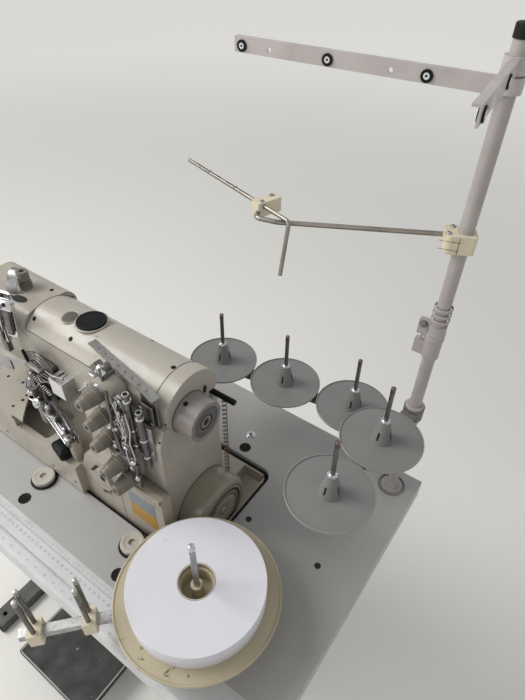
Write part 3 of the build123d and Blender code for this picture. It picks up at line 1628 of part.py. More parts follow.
left_eyelets = [eyelet_first, eyelet_first + eyelet_pitch, eyelet_first + 2 * eyelet_pitch]
left_holes = [eyelet_first + plain_hole_inner, eyelet_first + 2 * eyelet_pitch - plain_hole_outer]
front_eyelets = [front_eyelet_first, front_eyelet_first + front_eyelet_pitch]
front_holes = [front_eyelet_first + plain_hole_front]
top_arm_left = top_arm(
    left_arm_angle, left_arm_top, left_arm_offset, left_arm_length, left_eyelets, left_holes
)
top_arm_front = top_arm(
    front_arm_angle, front_arm_top, front_arm_offset, front_arm_length, front_eyelets, front_holes
)
eyelets_left = arm_eyelets(left_arm_angle, left_arm_top, left_arm_offset, left_eyelets)
eyelets_front = arm_eyelets(front_arm_angle, front_arm_top, front_arm_offset, front_eyelets)

# Reel spindle with its foot on the table, post and collar
with BuildPart() as reel_spindle:
    with BuildSketch(level(reel_x, reel_y, top)):
        Circle(reel_foot_radius)
    extrude(amount=reel_foot_thickness)
    with BuildSketch(level(reel_x, reel_y, top + reel_foot_thickness)):
        Circle(reel_post_radius)
    extrude(amount=reel_plate_height - gap - reel_foot_thickness)
    with BuildSketch(level(reel_x, reel_y, top + reel_plate_height - gap)):
        Circle(reel_collar_radius)
    extrude(amount=-reel_collar_height)
    with BuildSketch(level(reel_x, reel_y, top + reel_plate_height - gap)):
        Circle(reel_spindle_radius)
    extrude(amount=reel_spindle_top - reel_plate_height + gap)

# Bar of the tape guides, clamped on the post under the plate
bar_low = top + reel_bar_height
with BuildPart() as reel_bar:
    with BuildSketch(level(reel_x, reel_y, bar_low, reel_bar_angle)):
        with Locations((reel_bar_length / 2, 0)):
            Rectangle(reel_bar_length, reel_bar_section)
        Circle(reel_post_radius + 6)
        Circle(reel_post_radius, mode=Mode.SUBTRACT)
    extrude(amount=reel_bar_section)

# Round reel plate with the hub that centres the tape core
with BuildPart() as reel_plate:
    with BuildSketch(level(reel_x, reel_y, top + reel_plate_height)):
        Circle(reel_plate_radius)
    extrude(amount=reel_plate_thickness)
    with BuildSketch(level(reel_x, reel_y, top + reel_plate_height + reel_plate_thickness)):
        Circle(tape_core_radius - tape_core_wall - gap)
        Circle(reel_hub_radius, mode=Mode.SUBTRACT)
        with Locations((0, 0)):
            Circle(reel_spindle_radius + 4)
    extrude(amount=reel_hub_height)
    with BuildSketch(level(reel_x, reel_y, top + reel_plate_height)):
        Circle(reel_spindle_radius + shaft_play)
    extrude(amount=reel_plate_thickness + reel_hub_height, mode=Mode.SUBTRACT)

# Roll of tape wound on its core
with BuildPart() as tape_roll:
    with BuildSketch(level(reel_x, reel_y, top + reel_plate_height + reel_plate_thickness)):
        Circle(tape_radius)
        Circle(tape_core_radius - tape_core_wall, mode=Mode.SUBTRACT)
    extrude(amount=tape_width)


def guide_clamp(place):
    """A block that slides along the bar, with its pair of upright tape guide pins."""
    with BuildPart() as clamp:
        with BuildSketch(level(reel_x, reel_y, top + clamp_bottom, reel_bar_angle)):
            with Locations((place, 0)):
                RectangleRounded(clamp_length, clamp_width, 2)
        extrude(amount=clamp_height)
        with BuildSketch(level(reel_x, reel_y, bar_low - swivel_play, reel_bar_angle)):
            with Locations((place, 0)):
                Rectangle(clamp_length + 1, reel_bar_section + 2 * swivel_play)
        extrude(amount=reel_bar_section + 2 * swivel_play, mode=Mode.SUBTRACT)
        with BuildSketch(level(reel_x, reel_y, top + clamp_bottom + clamp_height, reel_bar_angle)):
            with Locations((place, -clamp_pin_spread / 2), (place, clamp_pin_spread / 2)):
                Circle(clamp_pin_radius)
        extrude(amount=clamp_pin_top - clamp_bottom - clamp_height)
    return clamp


guide_clamp_1 = guide_clamp(clamp_places[0])
guide_clamp_2 = guide_clamp(clamp_places[1])

pieces = {
    "table_top": table_top,
    "stand_frame": stand_frame,
    "treadle": treadle,
    "bed_cushions": bed_cushions,
    "bed_casting": bed_casting,
    "arm_casting": arm_casting,
    "arm_top_cover": arm_top_cover,
    "arm_end_cap": arm_end_cap,
    "end_boss": end_boss,
    "upper_shaft": upper_shaft,
    "motor_housing": motor_housing,
    "handwheel": handwheel,
    "front_cover": front_cover,
    "cloth_plate": cloth_plate,
    "needle_plate": needle_plate,
    "feed_dog": feed_dog,
    "looper": looper,
    "needle_bar": needle_bar,
    "needles": needles,
    "take_up_lever": take_up_lever,
    "presser_bar": presser_bar,
    "presser_foot": presser_foot,
    "pressure_knob": pressure_knob,
    "tension_posts": tension_posts,
    "knob_1": knob_1,
    "knob_2": knob_2,
    "knob_3": knob_3,
    "knob_4": knob_4,
    "knob_5": knob_5,
    "thread_strip": thread_strip,
    "tube_guides": tube_guides,
    "thread_guard": thread_guard,
    "eye_guard": eye_guard,
    "lifter_lever": lifter_lever,
    "lifter_spring": lifter_spring,
    "oil_cap": oil_cap,
    "pole_lower": pole_lower,
    "pole_upper": pole_upper,
    "pole_clamp": pole_clamp,
    "pole_cap": pole_cap,
    "carrier_low": carrier_low,
    "carrier_high": carrier_high,
    "spool_rests_low": spool_rests_low,
    "spool_rests_high": spool_rests_high,
    "spindles_low": spindles_low,
    "spindles_high": spindles_high,
    "rod_clamp": rod_clamp,
    "guide_rod": guide_rod,
    "cross_block": cross_block,
    "slotted_rod": slotted_rod,
    "top_arm_left": top_arm_left,
    "top_arm_front": top_arm_front,
    "eyelets_left": eyelets_left,
    "eyelets_front": eyelets_front,
    "reel_spindle": reel_spindle,
    "reel_bar": reel_bar,
    "reel_plate": reel_plate,
    "tape_roll": tape_roll,
    "guide_clamp_1": guide_clamp_1,
    "guide_clamp_2": guide_clamp_2,
}
for name, piece in pieces.items():
    piece.part.label = name
    export_step(piece.part, f"parts/{name}.step")
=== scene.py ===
from math import cos, radians, sin, sqrt, tau
import random
import bpy
import bmesh
from mathutils import Matrix, Vector
from mathutils.bvhtree import BVHTree


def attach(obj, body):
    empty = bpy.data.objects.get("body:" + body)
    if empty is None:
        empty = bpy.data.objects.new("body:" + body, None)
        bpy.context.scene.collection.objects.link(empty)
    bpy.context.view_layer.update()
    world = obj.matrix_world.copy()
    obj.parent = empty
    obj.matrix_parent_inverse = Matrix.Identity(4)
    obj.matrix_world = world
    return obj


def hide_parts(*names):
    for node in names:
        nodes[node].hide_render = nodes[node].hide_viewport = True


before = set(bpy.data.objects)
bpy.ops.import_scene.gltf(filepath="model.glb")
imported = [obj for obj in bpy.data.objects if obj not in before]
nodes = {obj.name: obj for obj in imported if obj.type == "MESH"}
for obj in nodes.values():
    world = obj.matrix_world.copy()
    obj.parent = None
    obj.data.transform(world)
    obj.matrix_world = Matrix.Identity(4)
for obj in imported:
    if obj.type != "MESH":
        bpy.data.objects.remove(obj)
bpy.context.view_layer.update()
scene = bpy.context.scene
rng = random.Random(11)

# Tables, profiles and the places named here are in millimetres. Vectors, frames, REACH, LIFT,
# the camera and the lamps are in metres.
MM = 0.001
REACH = 0.02  # how far off a surface the search for it starts
LIFT = 0.00005  # how far lines and dark marks lie over a surface
UP, FRONT, RIGHT = Vector((0, 0, 1)), Vector((0, -1, 0)), Vector((1, 0, 0))
TABLE_Z = 760
INK_Z = TABLE_Z + 0.24
RULER = (-515, 330)
POLE_XY = (489, 211.5)
REEL_XY = (364, -144.5)
ARM_YZ = (-10.5, 1000)
MOTOR_YZ = (-10.5, 787)
SHAFT_YZ = (-20.5, 1000)
PRESSURE_XY = (-90, -5.5)
CAMERA_AT = (0.6112, -0.3622, 1.5355)
CAMERA_TURN = (34.7, 41.2, 1.13)
CAMERA_LENS = 27.44


# Places
def mm(x, y, z):
    """A point given in millimetres."""
    return Vector((x, y, z)) * MM


def across(axis):
    """A direction at right angles to axis, level unless axis is upright."""
    axis = Vector(axis).normalized()
    if abs(axis.z) < 0.9:
        return UP.cross(axis).normalized()
    return axis.orthogonal().normalized()


def basis(origin, axis, side=None):
    """A matrix whose Z is axis and whose X is side, at origin."""
    axis = Vector(axis).normalized()
    side = across(axis) if side is None else Vector(side)
    side = (side - axis * side.dot(axis)).normalized()
    m = Matrix((side, axis.cross(side), axis)).transposed().to_4x4()
    m.translation = origin
    return m


def ways(turn):
    """The level directions along and across a turn in degrees."""
    a = radians(turn)
    return Vector((cos(a), sin(a), 0)), Vector((-sin(a), cos(a), 0))


def on_top(x, y, z, turn=0):
    """A frame that faces up, turned by some degrees."""
    return basis(mm(x, y, z), UP, ways(turn)[0])


def on_front(x, y, z):
    """A frame that faces the front."""
    return basis(mm(x, y, z), FRONT, RIGHT)


def on_pole(z):
    return on_top(*POLE_XY, z)


trees = {}


def hit(node, start, direction):
    """Where a line from start meets a node, and the surface's normal there."""
    if node not in trees:
        mesh = nodes[node].data
        trees[node] = BVHTree.FromPolygons([v.co.copy() for v in mesh.vertices],
                                           [tuple(p.vertices) for p in mesh.polygons])
    found, normal, _, _ = trees[node].ray_cast(start, direction.normalized())
    if found is None:
        return None, None
    return found, -normal if normal.dot(direction) > 0 else normal


def seated(node, x, y, z, normal, side=None):
    """A frame on a node's surface, near a point and facing along normal."""
    normal = Vector(normal).normalized()
    p = mm(x, y, z)
    found, n = hit(node, p + normal * REACH, -normal)
    return basis(p, normal, side) if found is None else basis(found, n, side)


def islands(node):
    """The separate solids of a node as lists of points, sorted by their place."""
    mesh = nodes[node].data
    # Faces of one solid may keep vertices of their own, so a vertex counts by where it is.
    places = [tuple(round(c * 1e5) for c in v.co) for v in mesh.vertices]
    joined = {p: {p} for p in places}
    for e in mesh.edges:
        a, b = sorted((joined[places[i]] for i in e.vertices), key=len)
        if a is not b:
            b |= a
            joined.update(dict.fromkeys(a, b))
    groups = {}
    for v, p in zip(mesh.vertices, places):
        groups.setdefault(id(joined[p]), []).append(v.co.copy())
    return sorted(groups.values(), key=lambda g: [sum(p[i] for p in g) / len(g) for i in (0, 1)])


def points_of(node):
    return [p for g in islands(node) for p in g]


def box_of(points):
    """The lowest and highest corner in millimetres, and the middle."""
    low = Vector([min(p[i] for p in points) for i in range(3)]) * 1000
    high = Vector([max(p[i] for p in points) for i in range(3)]) * 1000
    return low, high, (low + high) / 2


def solids(node):
    """A tag and the box of each separate solid of a node."""
    for k, solid in enumerate(islands(node)):
        yield f"{node}_{k + 1}", *box_of(solid)


def look_on():
    """The camera at the photograph's place."""
    yaw, pitch, roll = CAMERA_TURN
    level, ahead = ways(yaw)
    pitch, roll = radians(pitch), radians(roll)
    ahead = ahead * cos(pitch) - UP * sin(pitch)
    side = level * cos(roll) + level.cross(ahead) * sin(roll)
    data = bpy.data.cameras.new("camera")
    data.lens = CAMERA_LENS
    data.sensor_width = 36
    data.clip_start, data.clip_end = 0.05, 60
    cam = bpy.data.objects.new("camera", data)
    scene.collection.objects.link(cam)
    cam.matrix_world = basis(CAMERA_AT, -ahead, side)
    scene.camera = cam


look_on()

# Materials
looks = {}


def add_node(tree, kind, out, inputs, **settings):
    """Adds a shader node, sets or links its inputs, and gives one of its outputs."""
    n = tree.nodes.new("ShaderNode" + kind)
    for key, value in settings.items():
        setattr(n, key, value)
    for key, value in inputs.items():
        feed(tree, n.inputs[key], value)
    return n.outputs[out]


def feed(tree, socket, value):
    """Links an output to a socket, or sets the socket's value."""
    if isinstance(value, bpy.types.NodeSocket):
        tree.links.new(value, socket)
    elif socket.type == "RGBA":
        socket.default_value = (*value, 1)
    else:
        socket.default_value = value


def calc(tree, kind, a, b):
    """A Math node of some kind on two values or outputs."""
    return add_node(tree, "Math", 0, {0: a, 1: b}, operation=kind)


def seen_rays(tree):
    """1 for the rays that show the background: straight, in gloss or through glass."""
    rays = tree.nodes.new("ShaderNodeLightPath").outputs
    shown = calc(tree, "MAXIMUM", rays["Is Glossy Ray"], rays["Is Transmission Ray"])
    return calc(tree, "MAXIMUM", rays["Is Camera Ray"], shown)


class Look:
    """A material whose base colour is built up in layers."""

    def __init__(self, name, colour, rough, metal=0, coat=0, coat_rough=0.1, specular=0.5):
        self.material = looks[name] = bpy.data.materials.new(name)
        self.material.use_nodes = True
        self.material.diffuse_color = (*colour, 1)
        self.tree = self.material.node_tree
        self.shader = self.tree.nodes["Principled BSDF"]
        self.base = colour
        self.at = self.place()
        self.put({"Base Color": colour, "Roughness": rough, "Metallic": metal, "Coat Weight": coat,
                  "Coat Roughness": coat_rough, "Specular IOR Level": specular})

    def put(self, inputs):
        for key, value in inputs.items():
            feed(self.tree, self.shader.inputs[key], value)

    def node(self, kind, out, inputs, **settings):
        return add_node(self.tree, kind, out, inputs, **settings)

    def place(self, scale=(1, 1, 1)):
        coords = self.node("TexCoord", "Object", {})
        return self.node("Mapping", "Vector", {"Vector": coords, "Scale": scale})

    def noise(self, scale, detail, rough, distortion=0, at=None):
        return self.node("TexNoise", "Fac", {
            "Scale": scale, "Detail": detail, "Roughness": rough, "Distortion": distortion,
            "Vector": at or self.at})

    def ramp(self, value, *stops):
        """A colour ramp from stops of a place and a grey or a colour."""
        out = self.node("ValToRGB", "Color", {"Fac": value})
        elements = out.node.color_ramp.elements
        while len(elements) < len(stops):
            elements.new(0.5)
        for e, (p, c) in zip(elements, stops):
            e.position = p
            e.color = (*c, 1) if isinstance(c, tuple) else (c, c, c, 1)
        return out

    def mix(self, factor, a, b):
        return self.node("Mix", 2, {0: factor, 6: a, 7: b}, data_type="RGBA")

    def calc(self, kind, a, b):
        return calc(self.tree, kind, a, b)

    def cover(self, where, colour):
        self.base = self.mix(where, self.base, colour)

    def layer(self, colour, share, low, high, *noise):
        """Lays a colour over the base where a noise is high, up to a share of 1."""
        where = self.ramp(self.noise(*noise), (low, 0), (high, 1))
        self.cover(where if share == 1 else self.calc("MULTIPLY", where, share), colour)

    def worn(self, low, high, *noise):
        """Varies the roughness with a noise, between two stops."""
        self.put({"Roughness": self.ramp(self.noise(*noise), low, high)})

    def done(self, height, strength, distance, rounded=0):
        """Links the base colour, and a bump on softly rounded edges."""
        bump = {"Strength": strength, "Distance": distance, "Height": height}
        if rounded:
            bump["Normal"] = self.node("Bevel", "Normal", {"Radius": rounded}, samples=3)
        self.put({"Base Color": self.base, "Normal": self.node("Bump", "Normal", bump)})


def painted(name, colour, dirt, rough, coat, grain, strength, rounded, patches=7, chips=0,
            chip_colour=(0.12, 0.11, 0.1)):
    """Enamel paint with soft stains, fine dust and an orange-peel surface."""
    look = Look(name, colour, rough, coat=coat, coat_rough=0.18)
    look.layer(dirt, 0.55, 0.42, 0.72, patches, 6, 0.62, 0.4)
    look.layer(dirt, 0.35, 0.58, 0.7, 95, 5, 0.7)
    if chips:
        look.layer(chip_colour, 1, 0.70 - chips * 0.05, 0.715, 62, 7, 0.62, 1.2)
    look.worn((0.3, rough * 0.72), (0.75, min(1, rough * 1.6)), 24, 5, 0.6)
    look.done(look.noise(grain, 2, 0.5), strength, 0.0003, rounded)


def plastic(name, colour, dirt, rough, patches=16, spots=0.25, rounded=0, specular=0.5,
            grain=900, strength=0.08):
    """Moulded plastic, a little uneven in colour and handled."""
    look = Look(name, colour, rough, specular=specular)
    look.layer(dirt, 0.5, 0.4, 0.75, patches, 5, 0.6, 0.3)
    look.layer(dirt, spots, 0.6, 0.7, 230, 4, 0.7)
    look.worn((0.3, rough * 0.8), (0.8, min(1, rough * 1.35)), 45, 4, 0.6)
    look.done(look.noise(grain, 2, 0.5), strength, 0.00025, rounded)


def steel(name, colour, tarnish, rough, strength):
    """Plated or ground metal with streaks, oil and tarnish."""
    look = Look(name, colour, rough, metal=1)
    look.layer(tarnish, 0.7, 0.42, 0.72, 40, 6, 0.65, 0.5)
    look.worn((0.3, rough * 0.6), (0.75, min(1, rough * 1.8)), 120, 5, 0.65)
    streaks = look.noise(1, 3, 0.6, at=look.place((60, 60, 900)))
    look.done(streaks, strength, 0.0002, 0.0004)


def flat_dark(name, colour):
    """The flat dark of joint lines, and the painted shade of holes, slots and recesses; a little
    uneven.
    """
    look = Look(name, colour, 0.7)
    look.cover(look.noise(160, 4, 0.6), tuple(c * 1.8 for c in colour))
    look.put({"Base Color": look.base})


def laminate():
    """Light grey speckled laminate with scuffs and stains, and a whiter, worn front band whose
    whiteness is partly a painted sheen.
    """
    look = Look("table_laminate", (0.405, 0.393, 0.37), 0.36, coat=0.12, coat_rough=0.3)
    look.layer((0.345, 0.34, 0.325), 1, 0.3, 0.75, 3.2, 5, 0.6)
    look.cover(0.5, look.ramp(look.noise(620, 3, 0.75), (0.36, (0.43, 0.425, 0.41)),
                              (0.5, (0.395, 0.39, 0.375)), (0.62, (0.33, 0.325, 0.315))))
    look.layer((0.22, 0.21, 0.2), 0.35, 0.66, 0.73, 34, 7, 0.7, 0.8)
    y = look.node("SeparateXYZ", "Y", {0: look.at})
    scuffs = look.ramp(look.noise(30, 6, 0.7), (0.35, 0), (0.8, 1))
    # The front band's colour is partly its own whiter tone and partly a painted sheen where light
    # catches the front edge.
    trim_and_sheen = look.mix(scuffs, (0.6, 0.605, 0.61), (0.47, 0.465, 0.45))
    look.cover(look.calc("LESS_THAN", y, -0.1925), trim_and_sheen)
    look.worn((0.3, 0.26), (0.75, 0.52), 14, 6, 0.65)
    look.done(look.noise(900, 2, 0.5), 0.1, 0.0002, 0.0012)


def reel_cream():
    """Yellowed plastic with dark blots near one side of its edge."""
    look = Look("reel_cream", (0.5, 0.435, 0.3), 0.4)
    look.layer((0.38, 0.325, 0.215), 0.6, 0.35, 0.75, 7, 5, 0.6, 0.3)
    spots = look.ramp(look.noise(70, 5, 0.62, 0.9), (0.62, 0), (0.67, 1))
    gap = look.node("VectorMath", "Value", {0: look.at, 1: (0.4, -0.262, 0.826)},
                    operation="DISTANCE")
    near = look.ramp(gap, (0.035, 1), (0.085, 0.12))
    look.cover(look.calc("MULTIPLY", spots, near), (0.13, 0.105, 0.065))
    look.worn((0.3, 0.3), (0.75, 0.5), 30, 4, 0.6)
    look.done(look.noise(700, 2, 0.5), 0.08, 0.0002, 0.0008)


def tape_white():
    """Closely wound white tape: fine rings on its faces."""
    look = Look("tape_white", (0.76, 0.75, 0.79), 0.85, specular=0.25)
    look.put({"Sheen Weight": 0.15})
    shift = look.node("VectorMath", 0, {0: look.at, 1: mm(*REEL_XY, 0)}, operation="SUBTRACT")
    flat = look.node("VectorMath", 0, {0: shift, 1: (1, 1, 0)}, operation="MULTIPLY")
    radius = look.node("VectorMath", "Value", {0: flat}, operation="LENGTH")
    rings = look.node("TexNoise", "Fac", {"W": radius, "Scale": 900, "Detail": 3},
                      noise_dimensions="1D")
    look.cover(look.ramp(rings, (0.3, 0), (0.75, 0.45)), (0.7, 0.69, 0.74))
    look.layer((0.6, 0.57, 0.56), 0.3, 0.55, 0.8, 20, 5, 0.6)
    look.layer((0.5, 0.46, 0.46), 0.35, 0.69, 0.76, 42, 3, 0.5, 0.4)
    fibre = look.noise(1500, 3, 0.6)
    look.done(look.calc("ADD", look.calc("MULTIPLY", rings, 0.6), fibre), 0.25, 0.0004)


laminate()
reel_cream()
tape_white()
# The hole material is painted shade: dark marks that stand for the shade inside holes, slots and
# recesses.
flat_dark("hole_painted_shade", (0.006, 0.006, 0.006))
flat_dark("seam_dark", (0.03, 0.026, 0.022))
for row in (
    ("cast_cream", (0.44, 0.405, 0.345), (0.27, 0.225, 0.165), 0.38, 0.16, 520, 0.22, 0.0022, 7,
     0.25),
    ("cover_cream", (0.45, 0.415, 0.355), (0.3, 0.26, 0.2), 0.36, 0.2, 460, 0.2, 0.0015),
    ("boss_paint", (0.26, 0.228, 0.208), (0.19, 0.16, 0.14), 0.33, 0.25, 480, 0.18, 0.0015),
    ("motor_cream", (0.28, 0.25, 0.19), (0.19, 0.165, 0.12), 0.34, 0.25, 420, 0.18, 0.0025),
    ("stand_paint", (0.06, 0.062, 0.055), (0.11, 0.1, 0.085), 0.5, 0, 380, 0.3, 0.002),
    ("treadle_paint", (0.038, 0.04, 0.038), (0.075, 0.075, 0.068), 0.7, 0, 300, 0.4, 0.0012, 7,
     0.4, (0.25, 0.25, 0.24)),
    ("pole_paint", (0.42, 0.38, 0.365), (0.29, 0.255, 0.24), 0.38, 0.15, 500, 0.12, 0.0006, 14,
     0.2, (0.3, 0.28, 0.26)),
    ("arm_paint", (0.5, 0.455, 0.44), (0.34, 0.295, 0.28), 0.42, 0.1, 480, 0.12, 0.0005, 20),
    # The carriers' colour is painted shade: the bars are made dark brown-grey for the shade they
    # lie in under the discs.
    ("carrier_painted_shade", (0.17, 0.155, 0.14), (0.09, 0.08, 0.07), 0.45, 0, 420, 0.2, 0.0006, 30),
    ("disc_grey", (0.1, 0.1, 0.105), (0.17, 0.16, 0.15), 0.45, 0, 500, 0.2, 0.0005, 60),
    ("ruler_band", (0.62, 0.63, 0.645), (0.5, 0.5, 0.5), 0.3, 0.3, 500, 0.06, 0, 5),
    ("treadle_rim", (0.4, 0.395, 0.38), (0.2, 0.195, 0.18), 0.42, 0, 350, 0.3, 0.0008, 7, 0.3),
):
    painted(*row)
for row in (
    ("clamp_cream", (0.74, 0.66, 0.49), (0.5, 0.42, 0.29), 0.42, 16, 0.25, 0.0008),
    ("knob_cream", (0.2, 0.176, 0.14), (0.115, 0.098, 0.074), 0.4, 40, 0.25, 0.0005),
    ("spool_grey", (0.215, 0.215, 0.205), (0.165, 0.163, 0.155), 0.42, 9, 0.2, 0.0005),
    ("black_plastic", (0.012, 0.012, 0.012), (0.035, 0.033, 0.03), 0.55, 16, 0.25, 0, 0.12),
    ("black_gloss", (0.008, 0.009, 0.01), (0.02, 0.02, 0.02), 0.36, 16, 0.25, 0, 0.1, 300,
     0.04),
    ("rubber_light", (0.5, 0.47, 0.41), (0.3, 0.27, 0.23), 0.7, 60, 0.5, 0.0006),
    ("disc_rim", (0.27, 0.27, 0.26), (0.2, 0.2, 0.19), 0.36),
    ("ceramic_white", (0.72, 0.72, 0.74), (0.55, 0.54, 0.53), 0.25),
    ("card_tan", (0.36, 0.3, 0.19), (0.24, 0.19, 0.11), 0.75, 30),
    ("ruler_ink", (0.22, 0.22, 0.235), (0.36, 0.36, 0.37), 0.5),
    ("window_glass", (0.12, 0.115, 0.092), (0.075, 0.07, 0.055), 0.28, 90, 0.1, 0, 0.2),
    ("label_blue", (0.19, 0.21, 0.25), (0.24, 0.26, 0.29), 0.35, 30),
    ("label_ochre", (0.45, 0.235, 0.03), (0.36, 0.19, 0.03), 0.35, 30),
    ("box_cream", (0.7, 0.68, 0.64), (0.55, 0.52, 0.47), 0.35),
):
    plastic(*row)
for row in (
    ("bright_steel", (0.66, 0.66, 0.67), (0.32, 0.3, 0.28), 0.16, 0.06),
    ("satin_steel", (0.42, 0.42, 0.42), (0.2, 0.19, 0.18), 0.36, 0.15),
    ("dark_steel", (0.2, 0.19, 0.18), (0.1, 0.09, 0.08), 0.34, 0.12),
    ("rod_steel", (0.33, 0.3, 0.26), (0.17, 0.145, 0.12), 0.34, 0.12),
    ("strip_steel", (0.3, 0.295, 0.28), (0.17, 0.16, 0.145), 0.42, 0.2),
    ("spring_brown", (0.13, 0.085, 0.06), (0.05, 0.04, 0.03), 0.45, 0.06),
    ("rod_brown", (0.22, 0.19, 0.165), (0.12, 0.095, 0.08), 0.34, 0.12),
    ("leaf_grey", (0.24, 0.24, 0.24), (0.13, 0.125, 0.12), 0.3, 0.06),
):
    steel(*row)

for look, names in {
    "table_laminate": "table_top", "stand_paint": "stand_frame", "treadle_paint": "treadle",
    "rubber_light": "bed_cushions", "cast_cream": "bed_casting arm_casting front_cover",
    "cover_cream": "arm_top_cover arm_end_cap cloth_plate", "boss_paint": "end_boss",
    "disc_grey": "upper_shaft", "motor_cream": "motor_housing handwheel",
    "satin_steel": "needle_plate feed_dog looper presser_foot tension_posts eye_guard"
                   " reel_spindle reel_bar",
    "bright_steel": "needle_bar needles take_up_lever presser_bar thread_guard",
    "knob_cream": "pressure_knob knob_1 knob_2 knob_3 knob_4 knob_5",
    "strip_steel": "thread_strip", "dark_steel": "tube_guides spindles_low spindles_high",
    "black_gloss": "lifter_lever oil_cap eyelets_left eyelets_front",
    "spring_brown": "lifter_spring", "pole_paint": "pole_lower pole_upper pole_clamp",
    "black_plastic": "pole_cap", "carrier_painted_shade": "carrier_low carrier_high",
    "spool_grey": "spool_rests_low spool_rests_high",
    "clamp_cream": "rod_clamp cross_block guide_clamp_1 guide_clamp_2",
    "rod_steel": "guide_rod slotted_rod", "arm_paint": "top_arm_left top_arm_front",
    "reel_cream": "reel_plate", "tape_white": "tape_roll",
}.items():
    for name in names.split():
        data = nodes[name].data
        data.materials.clear()
        data.materials.append(looks[look])
        for face in data.polygons:
            face.material_index = 0


# Building
class Shape:
    """Collects lathed, boxed, cut-out and swept forms in one mesh. Sizes in millimetres."""

    def __init__(self):
        self.bm = bmesh.new()

    def skin(self, a, b):
        """Faces between two rings of vertices, of which one may be a point."""
        steps = max(len(a), len(b))
        for i in range(steps):
            j = (i + 1) % steps
            if len(a) == 1:
                self.bm.faces.new((a[0], b[i], b[j]))
            elif len(b) == 1:
                self.bm.faces.new((a[i], a[j], b[0]))
            else:
                self.bm.faces.new((a[i], a[j], b[j], b[i]))

    def lathe(self, at, profile, steps, flutes=0, depth=0, span=(0, 0)):
        """Turns radii and heights round at, with flutes between the heights of span."""
        rings = []
        for r, h in profile:
            ring = []
            for i in range(steps if r > 1e-6 else 1):
                a = tau * i / steps
                cut = 0.5 - 0.5 * cos(a * flutes) if span[0] <= h <= span[1] else 0
                q = r - depth * cut
                ring.append(self.bm.verts.new(at @ mm(cos(a) * q, sin(a) * q, h)))
            rings.append(ring)
        for a, b in zip(rings, rings[1:]):
            self.skin(a, b)
        return self

    def box(self, at, size, edge, segments=2):
        """A block round the middle of a frame, with rounded or chamfered edges."""
        made = bmesh.ops.create_cube(self.bm, size=1,
                                     matrix=at @ Matrix.Diagonal((*mm(*size), 1)))
        edges = list({e for v in made["verts"] for e in v.link_edges})
        bmesh.ops.bevel(self.bm, geom=edges, offset=edge * MM, segments=segments, profile=0.5,
                        affect="EDGES")
        return self

    def fronts(self, *rows):
        """Boxes that face the front: x, y, z, width, height, depth, edge."""
        for row in rows:
            self.box(on_front(*row[:3]), row[3:6], row[6])
        return self

    def tops(self, *rows):
        """Boxes that lie level: x, y, z, turn, width, depth, height, edge."""
        for row in rows:
            self.box(on_top(*row[:4]), row[4:7], row[7])
        return self

    def plate(self, at, outline, thick, edge):
        """A plate of an outline, its far rim chamfered."""
        base = self.bm.faces.new([self.bm.verts.new(at @ mm(x, y, 0)) for x, y in outline])
        made = bmesh.ops.extrude_face_region(self.bm, geom=[base])
        high = [g for g in made["geom"] if isinstance(g, bmesh.types.BMVert)]
        bmesh.ops.translate(self.bm, vec=at.to_3x3() @ mm(0, 0, thick), verts=high)
        rim = [e for e in {e for v in high for e in v.link_edges}
               if all(v in high for v in e.verts)]
        bmesh.ops.bevel(self.bm, geom=rim, offset=edge * MM, segments=1, profile=0.5,
                        affect="EDGES")
        return self

    def rod(self, points, radius, steps):
        """Sweeps a circle along points given in metres."""
        turns = [tau * k / steps for k in range(steps)]
        rings = []
        side = None
        for i, p in enumerate(points):
            ahead = points[min(i + 1, len(points) - 1)] - points[max(i - 1, 0)]
            ahead.normalize()
            side = side or across(ahead)
            side = (side - ahead * side.dot(ahead)).normalized()
            over = ahead.cross(side)
            outs = [side * cos(a) + over * sin(a) for a in turns]
            rings.append([self.bm.verts.new(p + out * radius * MM) for out in outs])
        for a, b in zip(rings, rings[1:]):
            self.skin(a, b)
        self.bm.faces.new(rings[0][::-1])
        self.bm.faces.new(rings[-1])
        return self

    def wires(self, steps, *rows):
        """Rods from rows of a radius and points in millimetres."""
        for radius, *points in rows:
            self.rod([mm(*p) for p in points], radius, steps)
        return self

    def done(self, name, look, body="machine", angle=38):
        bmesh.ops.recalc_face_normals(self.bm, faces=self.bm.faces[:])
        return keep(self.bm, name, look, body, angle)


def keep(bm, name, look, body="machine", angle=None):
    """Makes a piece of a finished mesh and lets it ride on a body."""
    mesh = bpy.data.meshes.new(name)
    bm.to_mesh(mesh)
    bm.free()
    mesh.materials.append(looks[look])
    if angle:
        for face in mesh.polygons:
            face.use_smooth = True
        mesh.set_sharp_from_angle(angle=radians(angle))
    obj = bpy.data.objects.new(name, mesh)
    scene.collection.objects.link(obj)
    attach(obj, body)
    return obj


def turned(name, look, at, steps, profile, body="machine", angle=38):
    """One lathed piece."""
    Shape().lathe(at, profile, steps).done(name, look, body, angle)


def raised(at, height):
    """A frame moved along its own Z."""
    return at @ Matrix.Translation((0, 0, height * MM))


def slab(w, d, r):
    """A rectangle's outline with round corners."""
    points, steps = [], 5
    for sx, sy, start in ((1, 1, 0), (-1, 1, 90), (-1, -1, 180), (1, -1, 270)):
        for i in range(steps + 1):
            a = radians(start + 90 * i / steps)
            points.append((sx * (w / 2 - r) + r * cos(a), sy * (d / 2 - r) + r * sin(a)))
    return points


def oval(w, d, steps=28):
    turns = [tau * i / steps for i in range(steps)]
    return [(w / 2 * cos(a), d / 2 * sin(a)) for a in turns]


def pan_screw(name, at, r, look, body="machine"):
    """A domed screw head with a washer under it, and its slot as a dark bar of painted shade."""
    h = r * 0.55
    turned(name, look, at, 24, [(r * 1.25, -0.1), (r * 1.25, 0.35), (r, 0.45), (r, h * 0.5),
                                (r * 0.85, h * 0.85), (r * 0.5, h), (0, h)], body)
    spun = at @ Matrix.Rotation(rng.uniform(0, 3), 4, "Z")
    Shape().box(raised(spun, h), (r * 1.5, r * 0.28, 0.24), 0.05, 1).done(
        name + "_slot", "black_plastic", body)


